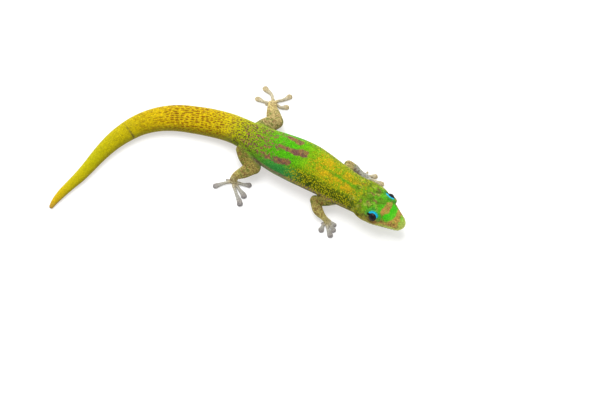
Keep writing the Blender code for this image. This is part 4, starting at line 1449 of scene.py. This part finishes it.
def in_rings(place):
    """True where plates in rows cover the skin instead of granules."""
    s, limb = place["s"], place["limb"] > 0.5
    belly = (np.abs(place["around"]) > BELLY_AROUND) & (s >= RING_END) & (s < BELLY_END)
    return ((s < RING_END) | belly) & ~limb


print("spacing from", BODY_SPACING[-1][1], "to", BODY_SPACING[0][1], "mm")

# %% A tree that throws points
def geometry_tree(name, inputs):
    """A Geometry Nodes tree with named inputs, and the nodes where it starts and ends."""
    tree = bpy.data.node_groups.new(name, "GeometryNodeTree")
    for title, kind in (("Geometry", "Geometry"), *inputs.items()):
        tree.interface.new_socket(title, in_out="INPUT", socket_type="NodeSocket" + kind)
    tree.interface.new_socket("Geometry", in_out="OUTPUT", socket_type="NodeSocketGeometry")
    return tree, tree.nodes.new("NodeGroupInput"), tree.nodes.new("NodeGroupOutput")


def named_attribute(tree, name, kind):
    node = tree.nodes.new("GeometryNodeInputNamedAttribute")
    node.data_type = kind
    node.inputs["Name"].default_value = name
    return node.outputs["Attribute"]


def build_scatter_tree():
    tree, enter, leave = geometry_tree("scatter_roots", {
        "Least Distance": "Float", "Density": "Float", "Seed": "Int"})
    throw = tree.nodes.new("GeometryNodeDistributePointsOnFaces")
    throw.distribute_method = "POISSON"
    to_points = tree.nodes.new("GeometryNodePointsToVertices")
    link = tree.links.new
    link(enter.outputs["Geometry"], throw.inputs["Mesh"])
    link(enter.outputs["Least Distance"], throw.inputs["Distance Min"])
    link(enter.outputs["Density"], throw.inputs["Density Max"])
    link(named_attribute(tree, "region", "FLOAT"), throw.inputs["Density Factor"])
    link(enter.outputs["Seed"], throw.inputs["Seed"])
    link(throw.outputs["Points"], to_points.inputs["Points"])
    link(to_points.outputs["Mesh"], leave.inputs["Geometry"])
    return tree


def set_inputs(modifier, **values):
    """Sets the named inputs of a Geometry Nodes modifier by their identifiers."""
    wanted = {name.replace("_", " "): value for name, value in values.items()}
    for item in modifier.node_group.interface.items_tree:
        if item.item_type == "SOCKET" and item.in_out == "INPUT" and item.name in wanted:
            modifier[item.identifier] = wanted[item.name]


def throw_points(mesh, region, distance, seed):
    """Points thrown on the part of the mesh where region is 1."""
    obj = add_object("scatter", mesh.copy())
    store(obj.data, dict(region=region))
    modifier = obj.modifiers.new("Throw", "NODES")
    modifier.node_group = scatter_tree
    set_inputs(modifier, Least_Distance=distance, Density=THROW_DENSITY / distance ** 2, Seed=seed)
    flatten_modifiers(obj)
    found = read_points(obj.data)
    bpy.data.objects.remove(obj)
    return found


scatter_tree = build_scatter_tree()
print("scatter tree:", len(scatter_tree.nodes), "nodes")

# %% Granules on the skin
skin_shape = BVHTree.FromPolygons(points.tolist(), [tuple(f.vertices) for f in skin.data.polygons])


def snap(roots):
    """The nearest places on the skin, with its outward direction there."""
    hits = [skin_shape.find_nearest(root) for root in roots]
    return np.array([hit[0] for hit in hits]), np.array([hit[1] for hit in hits])


def neighbours(roots, count):
    tree = point_tree(roots)
    return np.array([[hit[1] for hit in tree.find_n(root, count)] for root in roots])


def scatter_granules():
    """Throws points band by band, each with the spacing that its part of the skin has."""
    spacing = spacing_at(skin_place)
    granular = ~in_rings(skin_place)
    borders = [0.0, *[(a + b) / 2 for a, b in zip(SCATTER_BANDS, SCATTER_BANDS[1:])], math.inf]
    thrown = []
    for number, (band, low, high) in enumerate(zip(SCATTER_BANDS, borders, borders[1:])):
        region = granular & (spacing >= low) & (spacing < high)
        thrown.append(throw_points(skin.data, region, band * THROW_SHARE, 100 + number))
    return np.vstack(thrown)


granules = scatter_granules()
print("granules thrown:", len(granules))

# %% Rows of plates
TAIL_SPACING = [(0, 0.22), (3, 0.29), (10, 0.35), (34, 0.37), (36, 0.38), (70, 0.4)]
BELLY_SPACING = 0.52
ROW_STEP = 0.9  # rows are this share of the spacing apart
FIRST_ROW = 0.25  # from the tail tip
PLATE_STRAY = 0.3  # a plate whose place lies further than this from the skin is left out


def ring_roots():
    """Roots in rings round the tail, and in half rings across the belly."""
    rows, row_number = [], 0
    s = FIRST_ROW
    while s < BELLY_END:
        tail = s < RING_END
        spacing = float(np.interp(s, *np.array(TAIL_SPACING).T)) if tail else BELLY_SPACING
        section = spine.frames([s])[0][0]
        perimeter = np.pi * (section[3] + (section[4] + section[5]) / 2)
        count = max(6, int(round(perimeter / spacing)))
        turns = (np.arange(count) + 0.5 * (row_number % 2)) * 2 * np.pi / count - np.pi / 2
        share = math.sqrt(max(0.05, 1 - max(0.0, 1 - s / TAIL_TIP_ROUND) ** 2))
        places = spine.surface(np.full(count, s), turns, np.full(count, share), -SKIN_DEPTH)
        if not tail:
            places = places[np.abs(np.degrees(np.angle(np.exp(1j * (turns - np.pi / 2)))))
                            > BELLY_AROUND]
        rows.append(places)
        s += spacing * ROW_STEP
        row_number += 1
    roots = np.vstack(rows)
    snapped, _ = snap(roots)
    return snapped[np.linalg.norm(snapped - roots, axis=1) < PLATE_STRAY]


plates = ring_roots()
print("plates in rows:", len(plates))

# %% Rows round the mouth and eyes
LIP_PLATE = (0.92, 0.58)  # length along the mouth, and height
LIP_REACH = (14.48, 10.1)  # the front of the lips, and how far back they run from it
LID_ROWS = ((1.32, 42, 0.95, 0.0), (1.5, 44, 0.92, 0.0), (1.7, 46, 0.82, 0.5))
NOSTRIL_ROW = (0.33, 8)  # radius and number of scales


def lip_row(above):
    """Places of the lip plates, from one corner of the mouth round the snout to the other."""
    forward = LIP_REACH[0] - LIP_REACH[1] * np.linspace(1, 0, 160) ** 2
    height = mouth_height(forward)
    height += LIP_PLATE[1] * (0.6 if above else -0.6)
    out = np.array([float(head_half_width(f, h)) for f, h in zip(forward, height)])
    forward, height, out = forward[out > 0.05], height[out > 0.05], out[out > 0.05]
    right, left = ([head_point(f, side * o, h) for f, o, h in zip(forward, out, height)]
                   for side in (-1, 1))
    path = np.array(right + left[::-1])
    length = np.concatenate([[0], np.cumsum(np.linalg.norm(np.diff(path, axis=0), axis=1))])
    count = int(length[-1] / LIP_PLATE[0])
    steps = (np.arange(count) + 0.5) * length[-1] / count
    places, ends = (np.stack([np.interp(step, length, path[:, k]) for k in range(3)], axis=1)
                    for step in (steps, steps + 0.2))
    return places, ends - places


def ring_round(centre, axis, radius, count, phase=0.0):
    """Places in a ring about an axis."""
    level, rising = across_axis(axis)
    angle = 2 * np.pi * (np.arange(count) + phase) / count
    return centre + radius * (np.outer(np.cos(angle), level) + np.outer(np.sin(angle), rising))


lip_plates, lip_ways = (np.vstack(rows) for rows in zip(lip_row(True), lip_row(False)))
lid_scales = np.vstack([ring_round(centre + gaze * lift, gaze, radius, count, phase)
                        for _, centre, gaze in eye_places()
                        for radius, count, lift, phase in LID_ROWS])
nostril_scales = np.vstack([ring_round(side_spot(side, NOSTRIL_PLACE), LEFT * side, *NOSTRIL_ROW)
                            for side in (1, -1)])
print("lip plates:", len(lip_plates), "lid scales:", len(lid_scales))

# %% Settling the granules
MOUTH_ROOM = 0.56  # half the height of the two rows of lip plates
MOUTH_ROOM_START = 4.15  # ahead of here they need that room
LID_ROOM = 1.82  # radius of the rows round an eye
NOSTRIL_ROOM = 0.46
FIXED_ROOM = (0.5, 0.6, 0.24)  # the spacing that plates, lip plates and lid scales hold on to
CROWDING = 1.06  # granules push for this much more than their spacing
PUSH = 0.42  # share of the missing room that one round makes up
RELAX_ROUNDS = 6


def open_places(roots):
    """False inside the eyes, the mouth rows, the nostrils and the ears."""
    forward, out, height = head_places(roots)
    mouth = (np.abs(height - mouth_height(forward)) < MOUTH_ROOM) & (np.abs(out) < 7)
    keep = ~mouth | (forward < MOUTH_ROOM_START)
    for side, centre, gaze in eye_places():
        _, along, flat = round_axis(roots, centre, gaze)
        keep &= ~((np.linalg.norm(flat, axis=1) < LID_ROOM) & (along > 0.35))
        away = np.linalg.norm(roots - side_spot(side, NOSTRIL_PLACE), axis=1)
        keep &= away > NOSTRIL_ROOM
        ear = roots - side_spot(side, EAR_PLACE)
        oval = np.hypot((ear @ AHEAD) / EAR[1], (ear @ UP) / EAR[2])
        keep &= oval + (np.abs(ear @ LEFT) > 1.5) > 0.95
    return keep


def relax(roots, spacing, fixed, fixed_spacing, rounds):
    """Pushes roots apart along the skin until each has the room that it wants."""
    sizes = np.concatenate([spacing, fixed_spacing])
    for _ in range(rounds):
        everything = np.vstack([roots, fixed])
        near = neighbours(everything, 8)[: len(roots), 1:]
        offset = roots[:, None, :] - everything[near]
        gap = np.linalg.norm(offset, axis=2)
        want = 0.5 * (spacing[:, None] + sizes[near]) * CROWDING
        push = np.maximum(want - gap, 0) * PUSH
        step = (offset / np.maximum(gap, 1e-6)[:, :, None] * push[:, :, None]).sum(axis=1)
        roots, _ = snap(roots + step)
    return roots


granules = granules[open_places(granules)]
spacing = spacing_at(survey(granules))
fixed = (plates, lip_plates, lid_scales)
fixed_roots = np.vstack([snap(rows)[0] for rows in fixed])
fixed_sizes = np.repeat(FIXED_ROOM, [len(rows) for rows in fixed])
granules = relax(granules, spacing, fixed_roots, fixed_sizes, RELAX_ROUNDS)
granules = granules[open_places(granules)]
print("granules settled:", len(granules))

# %% [markdown]
# ## The shapes of one scale
# Four small shapes do for the whole coat: a round granule, a plate that overlaps the one behind it,
# a smooth shield for the lids and a squarish plate for the lips. The first two have 15 faces each,
# because they are used thousands of times. The underside is closed and sunk in the skin.

# %% Scale shapes
def scale_shape(name, outline, levels, apex):
    """A closed low form under an apex: rings of the outline, each with a share, height and slope."""
    count = len(outline)
    points, faces = [], []
    for share, height, slope in levels:
        points += [(x * share, y * share, height + slope * x) for x, y in outline]
    points.append(apex)
    for level in range(len(levels) - 1):
        for k in range(count):
            a, b = level * count + k, level * count + (k + 1) % count
            faces.append((a, b, b + count, a + count))
    top = (len(levels) - 1) * count
    faces += [(top + k, top + (k + 1) % count, len(points) - 1) for k in range(count)]
    faces.append(tuple(reversed(range(count))))
    obj = mesh_object(name, points, faces)
    store(obj.data, dict(patch=[(x, y, 0.0) for x, y, _ in points]))
    return obj


def outline(count, power=1.0):
    """Points round a circle, or round a squarer form where the power is below 1."""
    angles = 2 * np.pi * (np.arange(count) + 0.5) / count
    return [tuple(0.5 * math.copysign(abs(part) ** power, part)
                  for part in (math.cos(a), math.sin(a))) for a in angles]


PLATE_OUTLINE = [(0.56, 0.0), (0.42, 0.38), (0.0, 0.5), (-0.46, 0.36), (-0.46, -0.36),
                 (0.0, -0.5), (0.42, -0.38)]
granule_shape = scale_shape("granule", outline(7), [(1.0, -0.6, 0.0), (0.8, 0.62, 0.0)],
                            (0.04, 0.0, 1.0))
plate_shape = scale_shape("plate", PLATE_OUTLINE, [(1.0, -0.7, 0.3), (0.97, 0.35, 0.75)],
                          (0.1, 0.0, 0.95))
shield_shape = scale_shape("shield", outline(8), [(1.0, -0.8, 0.0), (0.9, 0.7, 0.0)],
                           (0.0, 0.0, 1.0))
lip_shape = scale_shape("lip", outline(16, 0.5),
                        [(1.0, -0.9, 0.0), (0.95, 0.45, 0.0), (0.72, 0.88, 0.0)], (0.0, 0.0, 1.0))
print("faces of a granule:", len(granule_shape.data.polygons))

# %% [markdown]
# ## Growing the coat
# Geometry Nodes set one scale on each root, turn it to lie along the body and stand out from the
# skin, and make the result solid. Each scale also gets its own small patch in a map of the unrolled
# skin, at the place of its root, so that its colour can be kept in an image later.

# %% Places in the map
UNROLL = 0.0073  # map width of a millimetre of skin
PATCH = 0.003  # map width of one scale
MAP_EDGE, BODY_ROW = 0.012, 0.3  # the left edge of the map, and the middle of the body's strip
LIMB_WIDTH = 0.245  # the four limbs lie side by side over the body's strip
# Strips of a limb: how far to the right they start, how high, and how wide they are.
UPPER_STRIP, LOWER_STRIP = (0.0, 0.5, 0.1), (0.12, 0.5, 0.09)
# Strips of the toes, three to a row: steps to the right and up, height of the first row, and width.
TOE_STEPS, TOE_ROW, TOE_WIDTH = (0.078, 0.07), 0.66, 0.04


def give_map_corners():
    """The corner and width of the strip of each limb, and under them those of its toes."""
    toe_number = [0, 0, 0, 0]
    for tube in tubes[1:]:
        limb = tube["limb"]
        left = MAP_EDGE + LIMB_WIDTH * limb
        if tube["kind"] == "upper":
            tube["map"] = (left + UPPER_STRIP[0], *UPPER_STRIP[1:])
        elif tube["kind"] == "lower":
            tube["map"] = (left + LOWER_STRIP[0], *LOWER_STRIP[1:])
        else:
            row, column = divmod(toe_number[limb], 3)
            tube["map"] = (left + TOE_STEPS[0] * column, TOE_ROW + TOE_STEPS[1] * row, TOE_WIDTH)
            toe_number[limb] += 1


def unrolled(place):
    """Map places of the roots: the body in one strip, each limb and toe in its own."""
    radius = body_radius(place["s"])
    u = MAP_EDGE + place["s"] * UNROLL
    v = BODY_ROW + np.radians(place["around"]) * radius * UNROLL
    for index in np.flatnonzero(place["limb"] > 0.5):
        tube = tubes[place["tube"][index]]
        start, end = REACH[tube["kind"]]
        along = (place["reach"][index] - start) / (end - start) * tube["end"]
        corner_u, corner_v, wide = tube["map"]
        u[index] = corner_u + along * UNROLL
        v[index] = corner_v + (place["limb_turn"][index] / (2 * math.pi) + 0.5) * wide
    return np.stack([u, v, np.zeros(len(u))], axis=1)


give_map_corners()
print("strips in the map:", len(tubes))

# %% Coat tree
def build_coat_tree():
    tree, enter, leave = geometry_tree("scale_coat", {
        "Scale Shape": "Object", "Patch Size": "Float", "Material": "Material"})
    new, link = tree.nodes.new, tree.links.new
    out, lie, size, patch, root = (named_attribute(tree, name, "FLOAT_VECTOR")
                                   for name in ("out", "lie", "size", "patch", "root_place"))
    shape = new("GeometryNodeObjectInfo")
    turn = new("FunctionNodeAxesToRotation")
    turn.primary_axis, turn.secondary_axis = "Z", "X"
    place = new("GeometryNodeInstanceOnPoints")
    realize = new("GeometryNodeRealizeInstances")
    shift = new("ShaderNodeVectorMath")
    shift.operation = "MULTIPLY_ADD"
    keep = new("GeometryNodeStoreNamedAttribute")
    keep.data_type, keep.domain = "FLOAT2", "CORNER"
    keep.inputs["Name"].default_value = "OFBake"
    paint = new("GeometryNodeSetMaterial")
    link(enter.outputs["Scale Shape"], shape.inputs["Object"])
    link(out, turn.inputs["Primary Axis"])
    link(lie, turn.inputs["Secondary Axis"])
    link(enter.outputs["Geometry"], place.inputs["Points"])
    link(shape.outputs["Geometry"], place.inputs["Instance"])
    link(turn.outputs["Rotation"], place.inputs["Rotation"])
    link(size, place.inputs["Scale"])
    link(place.outputs["Instances"], realize.inputs["Geometry"])
    for source, socket in zip((patch, enter.outputs["Patch Size"], root), shift.inputs):
        link(source, socket)
    link(realize.outputs["Geometry"], keep.inputs["Geometry"])
    value = next(socket for socket in keep.inputs if socket.name == "Value" and socket.enabled)
    link(shift.outputs["Vector"], value)
    link(keep.outputs["Geometry"], paint.inputs["Geometry"])
    link(enter.outputs["Material"], paint.inputs["Material"])
    link(paint.outputs["Geometry"], leave.inputs["Geometry"])
    return tree


coat_tree = build_coat_tree()
coat_material = marked_material("gecko_scales", 0.42, 0.00003)
print("coat tree:", len(coat_tree.nodes), "nodes")

# %% Growing scales on roots
scale_random = np.random.default_rng(20)
TONE_SPREAD = 0.22  # how much the tone differs from scale to scale
TONE_START, TONE_END = 2, 42  # from the tail tip, where it doesn't, to where it fully does
coats = []


def grow_coat(name, shape, roots, sizes, lie=None, fine=False):
    """Solid scales on the roots: sizes are length along the lie, width and height.

    Each scale has one colour, unless fine marks are wanted, which may cross its edges.
    """
    roots, out = snap(roots)
    place = survey(roots)
    marks = markings(roots, place)
    marks["tone"] = scale_random.normal(0.0, TONE_SPREAD, len(roots))
    marks["tone"] *= ramp(TONE_START, TONE_END, place["s"])
    vectors = dict(out=out, lie=place["lie"] if lie is None else lie, size=sizes,
                   root_place=unrolled(place))
    cloud = mesh_object(name, roots, [])
    store(cloud.data, {**vectors, **marks})
    modifier = cloud.modifiers.new("Coat", "NODES")
    modifier.node_group = coat_tree
    set_inputs(modifier, Scale_Shape=shape, Patch_Size=PATCH, Material=coat_material)
    flatten_modifiers(cloud)
    for key in (*vectors, "patch"):
        cloud.data.attributes.remove(cloud.data.attributes[key])
    if fine:
        corners = read_points(cloud.data)
        store(cloud.data, markings(corners, survey(corners)))
    return cloud


def add_coat(name, slot, shape, roots, sizes, **how):
    """Grows one piece of the coat and keeps it with its name and material slot."""
    coat = grow_coat(name, shape, roots, sizes, **how)
    coats.append((coat, name, slot))
    triangles = sum(len(face.vertices) - 2 for face in coat.data.polygons)
    print(name, len(roots), "scales,", triangles, "triangles")


def scale_sizes(width, length=1.0, height=0.24, vary=0.06):
    """Sizes for many scales from their widths, each a little different."""
    width = np.asarray(width) * (1 + vary * scale_random.normal(size=len(width)))
    return np.stack([width * length, width, np.asarray(height) * width], axis=1)


print("map width of one scale:", PATCH)

# %% Granules of back, head and limbs
GRANULE_SHARE = 1.16  # granules are a little wider than their spacing, so that they touch

granule_place = survey(granules)
granule_width = spacing_at(granule_place) * GRANULE_SHARE
granule_s = granule_place["s"]
on_limb = granule_place["limb"] > 0.5
on_toe = on_limb & (granule_place["kind"] == 2)
regions = [
    ("scales_back_rear", ~on_limb & (granule_s < 84), "skin_green"),
    ("scales_back_front", ~on_limb & (granule_s >= 84) & (granule_s < 98), "skin_green"),
    ("scales_shoulders", ~on_limb & (granule_s >= 98) & (granule_s < 112), "skin_gold"),
    ("scales_head", ~on_limb & (granule_s >= 112), "skin_green"),
    ("scales_hind_limbs", on_limb & ~on_toe & (granule_s < 92), "skin_limb"),
    ("scales_front_limbs", on_limb & ~on_toe & (granule_s >= 92), "skin_limb"),
    ("scales_toes", on_toe, "skin_limb"),
]
for name, chosen, slot in regions:
    shape = plate_shape if name == "scales_toes" else granule_shape
    add_coat(name, slot, shape, granules[chosen], scale_sizes(granule_width[chosen]))

# %% Plates, lips and lids
# The width of a plate as a share of its spacing, and its length and height as shares of its width.
PLATE_SHARE, PLATE_LENGTH, PLATE_HEIGHT = 1.02, 1.12, 0.2
LIP_HEIGHT = 0.13
LID_SCALE, NOSTRIL_SCALE = 0.22, 0.24  # their widths

plate_s = survey(plates)["s"]
tail = plate_s < RING_END
plate_width = np.where(tail, np.interp(plate_s, *np.array(TAIL_SPACING).T), BELLY_SPACING)
plate_rows = [("scales_tail_end", plate_s < 48, "skin_tail"),
              ("scales_tail_root", tail & (plate_s >= 48), "skin_tail"),
              ("scales_belly", ~tail, "skin_gold")]
for name, chosen, slot in plate_rows:
    sizes = scale_sizes(plate_width[chosen] * PLATE_SHARE, PLATE_LENGTH, PLATE_HEIGHT)
    add_coat(name, slot, plate_shape, plates[chosen], sizes, fine=slot == "skin_tail")

lip_sizes = np.array([(LIP_PLATE[0] * 0.98, LIP_PLATE[1], LIP_HEIGHT)] * len(lip_plates))
add_coat("scales_lips", "skin_green", lip_shape, lip_plates, lip_sizes, lie=lip_ways)
small_widths = [LID_SCALE] * len(lid_scales) + [NOSTRIL_SCALE] * len(nostril_scales)
add_coat("scales_lids", "skin_green", shield_shape, np.vstack([lid_scales, nostril_scales]),
         scale_sizes(small_widths, 1.0, 0.3))
for shape in (granule_shape, plate_shape, shield_shape, lip_shape):
    bpy.data.objects.remove(shape)
print("coat pieces:", len(coats))

# %% [markdown]
# ## Putting the pieces in place
# Every mesh was made in millimetres, which are easy to read against the tables. Scaling the objects
# would do for a picture, but the pieces keep plain places, so the points themselves become metres.
# Nothing reaches under the floor: what would is pressed flat on it, as a belly and toes are.

# %% Putting a finished mesh in place
def settle(obj, name, slot, nodes=()):
    """Turns grid millimetres into metres, names the piece, hangs it from the root and hides its
    solids.
    """
    points = read_points(obj.data)
    points[:, 2] = np.maximum(points[:, 2], 0.0)
    write_points(obj.data, (points - (*MIDDLE, 0.0)) * MM)
    obj.data.shade_smooth()
    obj.name = obj.data.name = name
    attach(obj, "root")
    if nodes:
        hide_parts(*nodes)


flesh = [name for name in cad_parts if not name.startswith("eye_")]
settle(skin, "skin", "skin_green", flesh)
for coat, name, slot in coats:
    settle(coat, name, slot)
print("skin in place for", len(flesh), "solids, with", len(coats), "pieces of coat")

# %% [markdown]
# ## The eyes
# A day gecko has a round pupil in a dark eye with a thin bronze ring, under a clear, fixed scale that
# is always wet. A ball with a slight bulge in front gives the glint; the iris is drawn by the angle
# from the way the eye looks, kept on the mesh as a mask.

# %% Eyes
EYE_RINGS = 40
EYE_INSET = 0.02  # the ball is this much smaller than the solid eye
CORNEA = (0.05, 0.75)  # how far the clear scale bulges, as a share of the radius, and how wide
IRIS_STOPS = [(0, (5, 5, 8)), (30, (5, 5, 8)), (31.5, (96, 66, 30)), (33.5, (70, 46, 24)),
              (36, (26, 22, 34)), (50, (18, 20, 38)), (60, (10, 12, 24)), (180, (8, 8, 12))]


def eye_mesh(centre, gaze):
    """Points and faces of one eye, and the angle of each point from its gaze."""
    around = np.linspace(0, 2 * np.pi, 2 * EYE_RINGS, endpoint=False)
    across = np.repeat(np.linspace(0, np.pi, EYE_RINGS)[1:-1], len(around))
    around = np.tile(around, EYE_RINGS - 2)
    level, rising = across_axis(gaze)
    across = np.concatenate([across, [0.0, np.pi]])
    around = np.concatenate([around, [0.0, 0.0]])
    radius = EYE_RADIUS * (1 + CORNEA[0] * bump(across, CORNEA[1]))
    unit = (np.outer(np.cos(across), gaze) + np.outer(np.sin(across) * np.cos(around), level)
            + np.outer(np.sin(across) * np.sin(around), rising))
    points = centre + unit * (radius - EYE_INSET)[:, None]
    return points, closed_faces(EYE_RINGS - 2, 2 * EYE_RINGS, 1), np.degrees(across)


def eye_material():
    material, tree, shader = new_material("gecko_eye")
    angle = add_math(tree, "DIVIDE", add_attribute(tree, "off_axis"), 180.0)
    colour = add_ramp(tree, IRIS_STOPS, angle, 180.0)
    flecks = add_noise(tree, 6000.0, 3.0, 0.6)
    colour = add_mix(tree, flecks, colour, (0.012, 0.010, 0.012, 1.0))
    tree.links.new(colour, shader.inputs["Base Color"])
    set_sockets(shader, {"Roughness": 0.1, "Specular IOR Level": 0.1,
                         "Coat Weight": 0.07, "Coat Roughness": 0.02})
    return material


eye_look = eye_material()
for side, centre, gaze in eye_places():
    name = "left" if side > 0 else "right"
    eye_points, eye_faces, off_axis = eye_mesh(centre, gaze)
    eye = mesh_object("eyeball", eye_points, eye_faces)
    store(eye.data, dict(off_axis=off_axis))
    eye.data.materials.append(eye_look)
    settle(eye, f"eyeball_{name}", "eye", [f"eye_{name}"])
print("eyes set")

# %% [markdown]
# ## The end

# %% End
print("dressing done")
